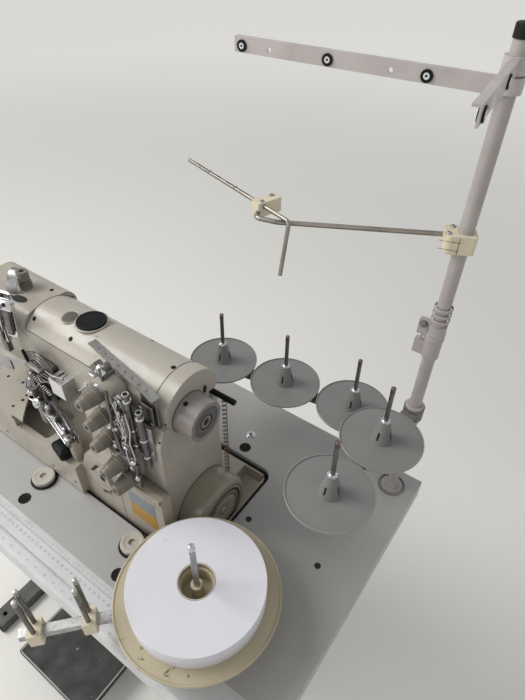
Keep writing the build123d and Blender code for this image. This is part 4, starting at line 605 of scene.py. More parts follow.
def sunk_screw(name, at, r):
    """A screw low in a counterbore, drawn as a dark ring of painted shade round the head."""
    turned(name, "black_plastic", at, 28,
           [(r, -0.1), (r, 0.06), (r * 0.93, 0.14), (r * 0.7, 0.1), (0, 0.1)])
    turned(name + "_head", "black_gloss", at, 20,
           [(r * 0.66, 0.05), (r * 0.6, 0.22), (r * 0.2, 0.26), (0, 0.26)])


def screws(name, r, at, places, *look):
    """Domed screws at places, of two looks in turn."""
    for k, place in enumerate(places):
        pan_screw(f"{name}_{k + 1}", at(*place), r, look[k % 2])


def hex_bolt(name, at, r, h, look, body="machine"):
    """A hexagonal head on a washer, with the bolt's end over it."""
    head = raised(at, 0.7)
    shape = Shape().lathe(at, [(r * 1.2, -0.1), (r * 1.2, 0.7), (r * 1.05, 0.8), (0, 0.8)], 24)
    shape.plate(head, oval(2 * r, 2 * r, 6), h, r * 0.12)
    shape.lathe(head, [(r * 0.5, h), (r * 0.5, h + 1.6), (r * 0.4, h + 2), (0, h + 2)], 16)
    shape.done(name, look, body)


# Thread stand
for level in ("low", "high"):
    body = "carrier_" + level
    for tag, low, high, mid in solids("spool_rests_" + level):
        r = (high.x - low.x) / 2
        turned("rim_" + tag, "disc_rim", on_top(mid.x, mid.y, low.z), 96, [
            (r - 0.9, 2.6), (r - 0.9, 3.4), (r - 0.3, 3.6), (r + 0.35, 3.1), (r + 0.4, 1.6),
            (r + 0.3, 0.3), (r - 0.2, -0.3), (r - 0.9, 0), (r - 0.9, 2.6)], body)
        at = on_top(mid.x, mid.y, high.z)
        Shape().lathe(
            at, [(3.6, -0.2), (7.2, -0.1), (7.4, 0.5), (6.2, 0.9), (3.6, 0.7)], 48, 8, 1.6, (-1, 2)
        ).lathe(at, [(3.2, 0.6), (4.6, 0.7), (4.6, 2.2), (4.1, 2.6), (3.2, 2.6)], 28).done(
            "star_" + tag, "bright_steel", body)

for level in ("low", "high"):
    body = "carrier_" + level
    for tag, low, high, mid in solids("spindles_" + level):
        turned("tip_" + tag, "rod_brown", on_top(mid.x, mid.y, high.z), 24, [
            (3.2, -9), (3.3, -8.8), (3.3, -0.4), (2.8, 0.2), (1.6, 0.35), (0, 0.35)], body)
        turned("nut_" + tag, "satin_steel", on_top(mid.x, mid.y, low.z), 6, [
            (4.1, 0.2), (6.8, 0.2), (7, 4.2), (6.2, 5), (4.1, 5)], body)

for body, z in (("carrier_low", 885), ("carrier_high", 937)):
    turned("hub_sleeve_" + body, "pole_paint", on_pole(z), 48, [
        (9.2, -0.3), (12.6, -0.3), (13.4, 0.6), (13.5, 24.2), (12.8, 25.3), (9.2, 25.4)], body)
turned("pole_collar", "pole_paint", on_pole(924), 40, [
    (9, 0), (11.6, 0.3), (12, 1.4), (12, 7), (11.5, 8.2), (9, 8.6)])
for k, z in enumerate((1083, 1108)):
    at = seated("pole_clamp", 470, 205, z, (-0.6, -0.8, 0))
    hex_bolt(f"pole_clamp_bolt_{k + 1}", at, 4.6, 4, "satin_steel")
bands = Shape()
for z in (1087, 1096, 1118, 1127, 1136):
    bands.lathe(on_pole(z), [
        (10.8, 0), (12, 0.4), (12.2, 1.6), (12.2, 2.8), (12, 4), (10.8, 4.4)], 44)
bands.done("clamp_bands", "pole_paint")
clamp_low, high, clamp_mid = box_of(points_of("rod_clamp"))
for k, (dx, dy) in enumerate(((-12, 6), (-10, -12))):
    at = seated("rod_clamp", clamp_mid.x + dx, clamp_mid.y + dy, high.z, UP)
    pan_screw(f"rod_clamp_screw_{k + 1}", at, 3, "satin_steel", "guide_rod")
low, high, mid = box_of(points_of("cross_block"))
for k, t in enumerate((-0.28, 0.28)):
    x, y = mid.x, mid.y + t * (high.y - low.y)
    pan_screw(f"cross_block_screw_{k + 1}", seated("cross_block", x, y, high.z, UP), 2.8,
              "satin_steel", "guide_rod")
    hex_bolt(f"cross_block_nut_{k + 1}", seated("cross_block", x, y, low.z, -UP), 3.2, 2.2,
             "satin_steel", "guide_rod")

for way, axis in (("left", (0.0576, -0.9983, 0)), ("front", (0.994, 0.1097, 0))):
    for tag, _, _, mid in solids("eyelets_" + way):
        mid = mid * MM
        for side, out in (("a", Vector(axis)), ("b", -Vector(axis))):
            found, _ = hit("eyelets_" + way, mid + out * REACH + UP * 0.0052, -out)
            if found is None:
                continue
            at = basis(mid + out * (found - mid).dot(out), out)
            turned(f"ceramic_{side}_{tag}", "ceramic_white", at, 32, [
                (3.3, -0.4), (3.2, 0.15), (2.7, 0.4), (1.9, 0.3), (1.25, -0.3), (1.25, -0.6)],
                "top_arm_" + way)
            turned(f"eye_{side}_{tag}", "black_gloss", at, 16, [
                (1.4, -0.5), (0.7, -0.45), (0, -0.4)], "top_arm_" + way)

# Cross ties of the slotted rod.
ties = Shape()
along, beside = ways(162.3)
for k in range(3):
    p = mm(313, 117.5, 1240) + along * (0.05 + 0.06 * k)
    found, _ = hit("slotted_rod", p + UP * 0.03, -UP)
    p.z = (found.z if found else 1.2425) + 0.0001
    ties.rod([p - beside * 0.003, p + beside * 0.003], 0.9, 8)
ties.done("rod_ties", "bright_steel", "slotted_rod")
# Dark lines where the rod clamp is split.
splits = Shape()
for way in (FRONT, -FRONT, RIGHT, -RIGHT):
    x = clamp_mid.x if way.x else POLE_XY[0]
    y = clamp_low.y if way.y else POLE_XY[1]
    splits.box(seated("rod_clamp", x, y, 1233, way, UP), (21, 0.7, 0.3), 0.1, 1)
for z in (1228, 1238):
    splits.box(seated("rod_clamp", 480, 196, z, FRONT, RIGHT), (24, 0.5, 0.25), 0.1, 1)
splits.done("clamp_splits", "black_plastic", "guide_rod")

# Tape reel holder
for name, look, steps, profile in (
    ("tape_core", "card_tan", 72, [
        (26, 0.3), (26, 31.6), (24.6, 32.3), (23.4, 31.6), (23.2, 0.4), (26, 0.3)]),
    ("tape_edge", "tape_white", 128, [
        (91.3, 1), (91.55, 1.6), (91.6, 30.6), (91, 31.9), (89.5, 32.15), (88.6, 32)]),
    ("reel_collar", "satin_steel", 36, [
        (4.2, 3), (7.4, 3), (7.8, 3.8), (7.8, 6), (7, 6.8), (4.3, 6.8)]),
    ("reel_rim", "reel_cream", 128, [
        (108.6, -0.2), (108.9, 1), (110.2, 1.7), (111.8, 1.3), (112.1, -1.2), (111.6, -3.6),
        (110.4, -4.1)]),
):
    turned(name, look, on_top(*REEL_XY, 826), steps, profile, "reel")
_, high, _ = box_of(points_of("reel_spindle"))
turned("spindle_tip", "bright_steel", on_top(*REEL_XY, high.z), 24, [
    (4.05, -9), (4.2, -8.6), (4.2, -1.2), (3.5, 0.2), (2.6, 0.5), (1.8, -0.8), (0, -0.8)])
for k in range(3):
    a = radians(40 + 120 * k)
    x, y = REEL_XY[0] + 18 * cos(a), REEL_XY[1] + 18 * sin(a)
    pan_screw(f"reel_foot_screw_{k + 1}", seated("reel_spindle", x, y, 764, UP), 2.6, "dark_steel")

along, beside = ways(227.8)
for k in (1, 2):
    node = f"guide_clamp_{k}"
    solid = points_of(node)
    _, high, mid = box_of(solid)
    # The tops of the two pins are told apart by their places.
    pins = []
    for p in solid:
        if p.z * 1000 <= high.z - 2:
            continue
        for pin in pins:
            if (p.xy - pin[0].xy).length < 7 * MM:
                pin.append(p)
                break
        else:
            pins.append([p])
    for j, pin in enumerate(pins):
        left, far, top = box_of(pin)
        r = (far.x - left.x) / 2
        at, tall = on_top(top.x, top.y, 816), high.z - 816
        turned(f"guide_pin_{k}_{j + 1}", "dark_steel", at, 24, [
            (r - 0.2, 2), (r + 0.12, 2.4), (r + 0.12, tall - 9), (r, tall - 8.8)], node)
        turned(f"guide_pin_tip_{k}_{j + 1}", "satin_steel", at, 24, [
            (r - 0.1, tall - 9), (r + 0.22, tall - 8.6), (r + 0.22, tall - 1.5),
            (r - 0.6, tall + 0.2), (r * 0.5, tall + 0.45), (0, tall + 0.5)], node)
    at = seated(node, mid.x, mid.y, 805, along * MM - beside)
    pan_screw(f"guide_clamp_screw_{k}", at, 3.4, "satin_steel", node)

# Table
Shape().plate(on_top(0, -220.5, TABLE_Z - 0.05), slab(1052, 42, 1), 0.22, 0.1).done(
    "ruler_strip", "ruler_band")
marks = Shape()


def mark(x0, y0, x1, y1):
    marks.bm.faces.new([marks.bm.verts.new(mm(x, y, INK_Z)) for x, y in (
        (x0, y0), (x1, y0), (x1, y1), (x0, y1))])


for i in range(RULER[0], RULER[1] + 1):
    tall = 6.5 if i % 10 == 0 else 4.6 if i % 5 == 0 else 2.8
    mark(i - 0.13, -226.6 - tall, i + 0.13, -226.6)
    if i % 5 == 0:
        mark(i - 0.3, -204.2, i + 0.3, -204.2 + (5.6 if i % 10 == 0 else 3.4))
for low, high in ((-204.7, -204.1), (-226.7, -226.2)):
    mark(RULER[0] - 1, low, RULER[1], high)
marks.done("ruler_marks", "ruler_ink")
digits = []
# One row counts up from the table's left end, the other down in steps of two.
for i in range(RULER[0] // 10 + 1, RULER[1] // 10):
    for y, number, size in ((-214.5, 53 + i, 5.4), (-239, 53 - i, 4.4)):
        if y < -230 and i % 2:
            continue
        curve = bpy.data.curves.new("digits", "FONT")
        curve.body = str(number)
        curve.size = size * MM
        curve.align_x = "CENTER"
        curve.resolution_u = 2
        text = bpy.data.objects.new("digits", curve)
        text.matrix_world = Matrix.Translation(mm(i * 10, y, INK_Z + 0.01))
        scene.collection.objects.link(text)
        digits.append(text)
bpy.context.view_layer.update()
joined = bmesh.new()
for text in digits:
    made = text.to_mesh()
    made.transform(text.matrix_world)
    joined.from_mesh(made)
    text.to_mesh_clear()
    curve = text.data
    bpy.data.objects.remove(text)
    bpy.data.curves.remove(curve)
keep(joined, "ruler_digits", "ruler_ink")

for k, (x, y) in enumerate(((6, -173.5), (228, -173.5), (238, 127.5))):
    turned(f"plug_{k + 1}", "black_plastic", on_top(x, y, TABLE_Z - 1.1), 44, [
        (10.2, -0.1), (10.35, 0.9), (9.9, 1.25), (9, 1), (6, 0.8), (0, 0.75)])
    ribs, pitch = Shape(), 2.4
    for i in range(-3, 4):
        reach = sqrt(8.4 ** 2 - (i * pitch) ** 2)
        ribs.box(on_top(x + i * pitch, y, TABLE_Z - 0.15), (0.9, 2 * reach, 0.5), 0.15, 1)
    ribs.done(f"plug_ribs_{k + 1}", "black_plastic")
at = on_top(228.8, 157.5, TABLE_Z)
turned("table_screw", "bright_steel", at, 40, [
    (8.6, -0.1), (8.6, 0.5), (8, 1), (6.4, 1.1), (6.1, 2.2), (4.4, 3.1), (0, 3.2)])
at = raised(at, 3.1)
# The cross in the screw head is drawn as dark bars of painted shade.
Shape().box(at, (7.4, 1.4, 0.3), 0.05, 1).box(at, (1.4, 7.4, 0.3), 0.05, 1).done(
    "table_screw_cross", "black_plastic")
for k, (x, y) in enumerate(((1, -129.8), (212, -127.5))):
    at = on_top(x, y, TABLE_Z)
    turned(f"cushion_ring_{k + 1}", "black_plastic", at, 56, [
        (18.4, 0), (22.2, 0.1), (22.5, 1.6), (21.6, 2.6), (18.4, 2.8)])
    turned(f"cushion_lip_{k + 1}", "rubber_light", at, 56, [
        (18.5, 7.2), (18.9, 8.2), (18.4, 9.9), (16.6, 10.35), (11.4, 10.2), (10.6, 9.6),
        (8.2, 9.5), (7.6, 10.15), (5.9, 10.1), (5.4, 8.6)])
    pan_screw(f"cushion_screw_{k + 1}", raised(at, 2.5), 4.4, "dark_steel")
bolts = [(x + dx, y) for x in (-300, 300) for y in (-60, 60) for dx in (-26, 26)]
for k, (x, y) in enumerate(bolts):
    hex_bolt(f"stand_bolt_{k + 1}", seated("stand_frame", x, y, 714, -UP), 5, 3.6, "dark_steel")
for k, (x, way) in enumerate((x, way) for x in (-300, 300) for way in (-1, 1)):
    at = basis(mm(x, way * 279.6, 20), (0, way, 0), RIGHT)
    Shape().plate(at, slab(44, 32, 4), 2.4, 0.8).done(f"rail_cap_{k + 1}", "black_plastic")
# Two holes in the table top, drawn as dark discs of painted shade.
for k, (x, y) in enumerate(((330, 14), (461, 12))):
    turned(f"table_hole_{k + 1}", "hole_painted_shade", on_top(x, y, TABLE_Z), 32, [
        (5, -0.3), (5.1, 0.05), (4.5, 0.2), (3.6, 0.1), (0, 0.08)])
turned("pole_foot_ring", "dark_steel", on_pole(TABLE_Z), 64, [
    (19.6, 0), (22.4, 0.1), (22.8, 1.2), (21.8, 2.2), (20.2, 2), (19.6, 0.8)])

# Treadle
found, _ = hit("treadle", mm(-47, -164, 90), -UP)
deck = (found.z * 1000 if found else 68) + 0.5
Shape().tops(
    (-47, -285.5, deck, 0, 236, 3.4, 1.6, 0.6), (-47, -42.5, deck, 0, 236, 3.4, 1.6, 0.6),
    (-166.2, -164, deck, 0, 3.4, 240, 1.6, 0.6), (72.2, -164, deck, 0, 3.4, 240, 1.6, 0.6),
).done("treadle_rim", "treadle_rim", "treadle")
seal = Shape()
for x, y, w, d in ((20, -101.2, 566, 5.8), (309.7, 3, 3.6, 200), (20, 107.2, 566, 5)):
    seal.box(on_top(x, y, 750), (w, d, 6), 0.6, 1)
seal.done("gap_seal", "black_plastic")

# Machine head
for name, node, place, way, r in (
    ("cover_screw_1", "arm_top_cover", (-22.5, -44.1, 1044), (0, -0.64, 0.77), 3.6),
    ("cover_screw_2", "arm_top_cover", (58.5, -43, 1044), (0, -0.6, 0.8), 3.6),
    ("cover_screw_3", "arm_top_cover", (58, 26, 1044), (0, 0.6, 0.8), 3.2),
    ("cover_screw_4", "arm_top_cover", (152, 26, 1044), (0, 0.6, 0.8), 3.2),
    ("cover_screw_5", "arm_top_cover", (224.5, -8.5, 1056), UP, 3.6),
    ("head_screw_1", "arm_casting", (-52.1, 13.1, 1051), UP, 3.4),
    ("boss_screw_1", "end_boss", (262.9, -30.9, 1028.7), (0, -0.33, 0.95), 3.4),
    ("column_screw_1", "arm_end_cap", (251, -59, 1006.1), FRONT, 1.9),
    ("column_screw_2", "arm_casting", (251.5, -66.6, 984), FRONT, 1.9),
):
    sunk_screw(name, seated(node, *place, way), r)
for k, (x, y, r) in enumerate((
    (-115.6, -54.1, 2.6), (-84.4, -69.2, 3), (-80.2, -80.8, 3), (-81.5, -98.7, 2.6),
    (-150.5, -60, 2.6), (-232, -88, 3), (-232, 62, 3), (-64, 62, 3),
)):
    node = "cloth_plate" if k else "needle_plate"
    sunk_screw(f"plate_screw_{k + 1}", seated(node, x, y, 864, UP), r)
for k, (x, z) in enumerate(((-72.1, 852.2), (-64.5, 838), (8.3, 782.9), (66, 784.3),
                            (-180, 846), (-236, 782), (-120, 782))):
    sunk_screw(f"bed_screw_{k + 1}", seated("bed_casting", x, -110.5, z, FRONT), 2.8)
# The slot in the end cap and the opening in the head are dark ovals of painted shade.
Shape().plate(seated("arm_end_cap", 255, 15.2, 1013.4, RIGHT, UP), oval(15, 7.5), 0.35, 0.12).done(
    "cap_slot", "hole_painted_shade")
Shape().plate(seated("arm_casting", -72, -31, 1051, UP, (1, 0.1, 0)), oval(30, 15), 0.25, 0.1).done(
    "head_opening", "hole_painted_shade")
window = seated("arm_top_cover", 30.5, -18, 1055, (0, -0.13, 0.99))
turned("window_ring", "cover_cream", window, 52, [
    (13.6, -0.5), (13.8, 0.3), (12.9, 0.9), (11.8, 0.5), (11.6, 0.1)])
turned("window_glass", "window_glass", window, 52, [
    (11.9, 0.1), (11.6, 0.7), (8.5, 1.25), (4, 1.5), (0, 1.55)])
cap = seated("oil_cap", 65, -7.5, 1058.8, UP)
turned("oil_cap_rim", "black_gloss", cap, 64, [
    (21.6, -0.6), (21.9, 0), (21.2, 0.45), (19.8, 0.5), (19.2, 0.15), (18, 0.15)])
turned("oil_cap_seat", "cover_cream", cap, 64, [
    (22.2, -4), (24.4, -3.6), (24.9, -2.6), (24, -2.1), (22.2, -2.3)])
for k, (x, y) in enumerate(((83.5, 12.5), (90.5, -24.5))):
    at = seated("arm_top_cover", x, y, 1056, UP, (1, 0.3, 0))
    Shape().box(at, (9, 2.4, 1.2), 0.5).done(f"cover_nib_{k + 1}", "cover_cream")


def seam(name, points, radius=0.5, steps=6):
    Shape().rod(points, radius, steps).done(name, "seam_dark", angle=80)


def arc(node, x, first, last):
    """Points on a node's surface round the arm's axis, at one place along it."""
    points = []
    for i in range(41):
        a = radians(first + (last - first) * i / 40)
        out = Vector((0, cos(a), sin(a)))
        found, _ = hit(node, mm(x, *ARM_YZ) + out * 0.12, -out)
        if found is not None:
            points.append(found + out * LIFT)
    return points


seam("cover_seam_left", arc("arm_top_cover", -31.7, 148, 32))
seam("cover_seam_right", arc("arm_end_cap", 230.35, 152, 28))
seam("cover_seam_front", [mm(-31.5 + 6 * i, -57.55, 1028.1) for i in range(38)])
seam("cover_seam_back", [mm(-31.5 + 6 * i, 36.55, 1028.1) for i in range(44)])
seam("cover_lip", [mm(-31.7, 30 + i, 1037.5 - i * 0.6) for i in range(6)], 0.8, 8)
turned("motor_seam", "seam_dark", basis(mm(255.2, *MOTOR_YZ), RIGHT), 120, [
    (57.2, 0), (57.7, 0.3), (57.5, 0.8), (57, 0.8)], angle=80)
turned("boss_seam", "seam_dark", basis(mm(255.2, *SHAFT_YZ), RIGHT), 90, [
    (31.1, 0), (31.7, 0.2), (31.6, 0.8), (31, 0.8)], angle=80)

# The turning face of the motor wheel, and the shaft end in the boss.
wheel = basis(mm(299, *MOTOR_YZ), RIGHT, -FRONT)
turned("wheel_lip", "motor_cream", wheel, 110, [
    (45.7, -0.6), (45.9, 0), (45, 0.5), (43.2, 0.6), (42.3, 0.2)], "handwheel")
# Dark rings of painted shade mark the grooves in the wheel face.
Shape().lathe(wheel, [(41.6, -0.1), (41.4, 0.3), (37.6, 0.3), (37.2, -0.1)], 90).lathe(
    wheel, [(31.9, -0.1), (31.7, 0.25), (30.2, 0.25), (30, -0.1)], 90).done(
    "wheel_rings", "hole_painted_shade", "handwheel")
turned("wheel_face", "motor_cream", wheel, 90, [
    (29.6, -0.1), (29.4, 0.7), (28, 1), (9, 0.6), (8.2, 0.1)], "handwheel")
turned("wheel_screw", "satin_steel", wheel, 40, [
    (6.8, -0.2), (6.8, 0.5), (6, 1.1), (2.6, 1.2), (2.4, 0.2), (0, 0.2)], "handwheel")
_, high, _ = box_of(points_of("upper_shaft"))
end = basis(mm(high.x, *SHAFT_YZ), RIGHT, -FRONT)
turned("shaft_disc", "disc_grey", end, 80, [
    (19.2, -0.2), (19.2, 0.2), (18.4, 0.45), (12.8, 0.4), (12.4, 0.1)], "upper_shaft")
turned("shaft_ring", "boss_paint", end, 60, [
    (9.2, -0.1), (9.2, 0.5), (8.4, 0.8), (6.2, 0.8), (5.6, 0.3)], "upper_shaft")
# The centre hole of the shaft end is a dark disc of painted shade.
turned("shaft_centre", "hole_painted_shade", end, 40, [
    (5.8, -0.1), (5.8, 0.25), (3.6, 0.35), (0, 0.35)], "upper_shaft")

# Tensions
KNOB = [
    (3.4, 0), (12.8, 0), (13.5, 0.6), (13.5, 2.4), (12.9, 2.9), (13.3, 3.4), (13.3, 6.2),
    (12.5, 6.9), (12, 7.1), (12.1, 8.4), (12, 12.4), (11.6, 12.8), (11.1, 12.8), (11, 13.5),
    (11.4, 13.8), (11.1, 17), (10.6, 17.2), (10.5, 17.9), (10.9, 18.2), (10.4, 21.2),
    (9.9, 21.5), (9.7, 22), (9.4, 25), (8.8, 28.4), (8, 29.8), (6.8, 30.1), (4, 30),
    (3.5, 29.2), (3.5, 24)]
for k, (x, y, z) in enumerate(((160, -84.5, 1032), (164, -84.5, 994), (165, -84.5, 952),
                               (191, -95.5, 925), (207, -95.5, 901))):
    tag = str(k + 1)
    at = on_front(x, y - 3.3, z)
    knob = Shape().lathe(at, KNOB, 96, 32, 0.45, (7.8, 12.6)).done(
        "grip_" + tag, "knob_cream", "knob_" + tag, 30)
    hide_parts("knob_" + tag)
    # The end of each post is a dark cap of painted shade.
    turned("post_tip_" + tag, "hole_painted_shade", at, 24, [
        (3.2, 27.2), (3.45, 27.4), (3.1, 27.9), (1.2, 28), (0, 27.7)])
    discs = Shape()
    for h in (-0.6, 0.9, 2.1):
        discs.lathe(on_front(x, y, z), [
            (11.5, h + 0.2), (14, h + 0.2), (14.7, h + 0.5), (14.7, h + 0.8), (13.9, h + 0.7),
            (11.5, h + 0.5)], 48)
    discs.done("tension_rims_" + tag, "bright_steel")
    loop = [mm(x - 18, y + 1, z + 2), mm(x - 19.5, y - 1.5, z + 3.6)]
    for i in range(15):
        a = radians(200 - 19 * i)
        loop.append(mm(x - 17.5 + 3.4 * cos(a), y - 3.0 - 0.25 * i, z + 6 + 3.4 * sin(a)))
    Shape().rod(loop, 0.75, 8).done("thread_loop_" + tag, "bright_steel", angle=70)

# Clips, plates and small screws round the guide tubes.
clips = Shape()
for x, zs in ((213, (1046, 992, 962)), (232, (1026, 984, 950))):
    for z in zs:
        clips.lathe(on_top(x, -82.5, z), [
            (4.6, 0), (5.9, 0.1), (6.1, 0.8), (6.1, 3.2), (5.7, 3.9), (4.6, 4)], 28)
clips.done("tube_rings", "bright_steel")
for k, (x, z) in enumerate(((213, 1059), (232, 1038))):
    turned(f"tube_mouth_{k + 1}", "satin_steel", on_top(x, -82.5, z), 28, [
        (4.5, -1.4), (4.75, -1.2), (4.7, 0.3), (4.1, 0.5), (3.2, 0.2), (3, -3)])
    # The mouth of each tube is closed by a dark disc of painted shade.
    turned(f"tube_hole_{k + 1}", "hole_painted_shade", on_top(x, -82.5, z), 20, [
        (3.1, -1.6), (1.5, -1.4), (0, -1.4)])
Shape().plate(on_front(233, -70.8, 1024), slab(24, 38, 3), 1.6, 0.4).done(
    "dark_bracket", "dark_steel")
pan_screw("bracket_screw_1", on_front(241, -72.3, 1011), 3.2, "dark_steel")
pan_screw("bracket_screw_2", on_front(224, -72.3, 1033), 2.6, "satin_steel")
Shape().fronts(
    (196, -83, 1004, 9, 20, 8, 1), (194, -85, 972, 7, 28, 6, 1), (198, -86, 986, 15, 4, 3, 0.8),
).wires(
    8, (1.4, (190, -84, 1026), (193, -87, 1012), (190, -88, 998), (195, -88, 982), (192, -86, 958)),
    (1.1, (204, -80, 1020), (206, -86, 1010), (203, -88, 1000), (206, -87, 975)),
).done("tension_links", "bright_steel", angle=50)
Shape().plate(on_front(228, -78, 976), slab(34, 66, 4), 2.2, 0.5).done(
    "tube_plate", "satin_steel")
screws("tube_screw", 3, on_front, (
    (222, -80, 1000), (222, -80, 952), (241, -80, 958), (222, -80, 976)),
    "satin_steel", "dark_steel")
Shape().plate(on_top(176, -92.5, 938.2, -14), slab(34, 15, 3), 2.2, 0.5).done(
    "slot_plate", "cover_cream")
# The hole and the slot in the plate are dark ovals of painted shade.
Shape().plate(on_top(184, -93.8, 940.35, -14), oval(11, 4), 0.2, 0.05).plate(
    on_top(167, -90.6, 940.35, -14), oval(5.6, 5.6), 0.2, 0.05).done(
    "slot_plate_holes", "hole_painted_shade")
# Three recesses in the bed casting, drawn as dark plates of painted shade.
for k, (place, w, h, way, side) in enumerate((
    ((123, -100, 859), 9, 15, (-0.39, 0, 0.92), (1, 0, 0.4)),
    ((124, -97.5, 788), 15, 15, FRONT, RIGHT), ((140, -97.5, 848), 9, 13, FRONT, RIGHT),
)):
    found, facing = hit("bed_casting", mm(*place) + Vector(way) * REACH, -Vector(way))
    at = basis(found + facing * LIFT, facing, side)
    Shape().plate(at, slab(w, h, 3), 0.6, 0.1).done(f"pocket_{k + 1}", "hole_painted_shade")
# The dark steel strip, blocks and wires behind the knobs are dark hardware, and also painted shade
# standing in for the dark gaps between the knobs.
Shape().fronts(
    (189, -80.5, 995, 13, 84, 5, 1.2), (182, -86.5, 1012, 9, 16, 8, 1.2),
    (186, -87, 975, 10, 12, 9, 1.2), (221, -98, 940, 6, 30, 5, 1),
    (226, -99, 908, 8, 26, 5, 1),
).wires(
    10, (2.4, (178, -86, 1046), (184, -91, 1030), (187, -93, 1010), (183, -92, 992),
         (188, -93, 970), (196, -96, 950)),
    (1.8, (199, -82, 1030), (201, -84, 990), (206, -90, 962), (214, -98, 946), (222, -100, 930)),
).done("tension_spine_and_shade", "dark_steel", angle=50)
nuts = Shape()
for place in ((189, -84, 1028), (190, -88, 1000), (187, -92, 984), (196, -88, 968),
              (222, -101, 946), (226, -102, 916), (203, -86, 1012), (210, -92, 960)):
    way = FRONT + Vector((rng.uniform(-0.3, 0.3), 0, rng.uniform(-0.2, 0.4)))
    nuts.lathe(basis(mm(*place), way), [
        (0, -3), (4, -3), (4.2, 0.5), (3.8, 1.4), (2.2, 1.8), (2.2, 3.4), (0, 3.6)], 18)
nuts.done("tension_nuts", "bright_steel")

# Plain two-tone plate on the front cover.
Shape().plate(on_front(215.5, -97.1, 840.5), slab(55, 31, 1.5), 0.5, 0.15).done(
    "label_upper", "label_blue")
Shape().plate(on_front(215.5, -97.1, 807), slab(55, 35, 1.5), 0.5, 0.15).done(
    "label_lower", "label_ochre")
Shape().box(on_front(215, -98.6, 881.5), (90, 8, 5), 1.4, 3).done("cover_lip_front", "cast_cream")

# Thread parts over the bed
Shape().box(on_top(42, -100.5, 842.5, -14), (37, 25, 19), 5.5, 4).box(
    on_top(42, -100.5, 852.4, -14), (24, 15, 2), 0.9).done("bumper", "black_gloss")
Shape().wires(
    12, (2.1, (-74, -62, 866.4), (-40, -70, 869.5), (10, -84, 872.5), (66, -98, 874.5)),
    (1.6, (-66, -70, 866.2), (-34, -77, 868.6), (14, -90, 871), (62, -103, 872.5)),
    (1.3, (-60, -52, 866.4), (-20, -62, 872), (24, -74, 874), (70, -90, 876)),
).done("thread_levers", "bright_steel", angle=60)
Shape().plate(basis(mm(0, -80, 868.6), (-0.05, -0.2, 1), (1, -0.26, 0)), slab(118, 7.5, 3.2), 1.4,
              0.4).done("lever_flat", "satin_steel")
Shape().tops((68, -92, 853, 0, 12, 16, 44, 1.6), (40, -82, 852, 0, 12, 9, 42, 1.4),
             (-36, -68, 851, 0, 16, 20, 40, 1.6)).done("lever_posts", "cast_cream")
turned("looper_tension", "bright_steel", basis(mm(-38, -76, 880), (0.2, -0.9, 0.45)), 36, [
    (0, -5), (8.5, -5), (9.4, -3.4), (9.4, -1.6), (6, -0.8), (6, 0.8), (9.4, 1.6), (9.4, 3.2),
    (8.4, 4.6), (4.5, 5.2), (4.2, 8), (0, 8.2)])
bits = Shape()
for *place, w, d, h in ((-52, -66, 874, 9, 14, 9), (-24, -70, 876, 12, 9, 12),
                        (-10, -76, 878, 8, 10, 8), (8, -80, 878, 10, 8, 7),
                        (64, -97, 880, 11, 12, 7), (44, -88, 880, 8, 8, 8)):
    bits.box(on_top(*place, rng.uniform(-25, 10)), (w, d, h), 1.1)
bits.done("lever_blocks", "satin_steel")
screws("lever_screw", 2.9, on_top, (
    (-52, -66, 878.4), (-24, -70, 882), (64, -97, 883.5), (44, -88, 884), (8, -80, 881.5)),
    "dark_steel", "bright_steel")

# Bracket, box front and arms of the needle thread guides.
Shape().plate(on_front(45, -78.6, 963), slab(30, 30, 1.2), 0.9, 0.3).done(
    "guard_front", "box_cream")
Shape().plate(on_top(45, -68, 978), slab(31, 22, 1.2), 1.1, 0.3).done("guard_lid", "satin_steel")
# The slots in the lid are dark strips of painted shade.
Shape().box(on_top(40, -64.5, 979.2), (3, 14, 0.4), 0.1, 1).box(
    on_top(48, -64.5, 979.2), (1.4, 14, 0.4), 0.1, 1).done("guard_lid_slots", "hole_painted_shade")
Shape().fronts(
    (4, -64, 966, 44, 42, 11, 1.8), (-22, -76, 944, 12, 34, 10, 1.4),
    (-6, -72, 950, 12, 22, 7, 1.2), (22, -70, 956, 18, 8, 6, 1.2),
).tops((2, -74, 985, 0, 34, 22, 5, 1.2)).wires(
    10, (1.6, (26, -78, 990), (44, -80, 992), (66, -76, 994)),
    (1.5, (-2, -78, 966), (10, -82, 960), (24, -80, 968), (34, -76, 972)),
    (1.4, (-4, -76, 942), (2, -80, 928), (-4, -78, 912), (0, -76, 900)),
).done("guide_hanger", "dark_steel", angle=50)
Shape().fronts(*[(-12 + 6.2 * i, -70.2, 967, 2.2, 36, 2.6, 0.7) for i in range(6)]).done(
    "hanger_ribs", "satin_steel")
Shape().fronts((118, -60, 1010, 14, 26, 8, 1.6), (124, -66, 1000, 8, 18, 9, 1.2)).wires(
    10, (1.4, (112, -62, 1004), (104, -70, 996), (98, -76, 990)),
    (1.2, (128, -70, 1006), (136, -80, 1014), (140, -84, 1022)),
).lathe(
    basis(mm(128, -72, 1008), FRONT), [(0, 0), (4.4, 0), (4.4, 5), (3.2, 6), (0, 6.2)], 24
).done("arm_guides", "satin_steel", angle=50)
leaf = Shape()
rows = []
for p in ((-104, 4, 1074), (-103, -2, 1079), (-101, -10, 1079), (-98, -18, 1073), (-95, -25, 1062),
          (-93, -30, 1051.6)):
    rows.append([leaf.bm.verts.new(mm(*p) + mm(17, 7, 0) * off + mm(0, 0, thick))
                 for off, thick in ((-0.5, 0), (-0.5, 1.2), (0.5, 1.2), (0.5, 0))])
for a, b in zip(rows, rows[1:]):
    leaf.skin(a, b)
leaf.bm.faces.new(rows[0])
leaf.bm.faces.new(rows[-1])
leaf.done("leaf_spring", "leaf_grey", angle=60)
_, high, _ = box_of(points_of("pressure_knob"))
top = on_top(*PRESSURE_XY, high.z)
ridged = Shape()
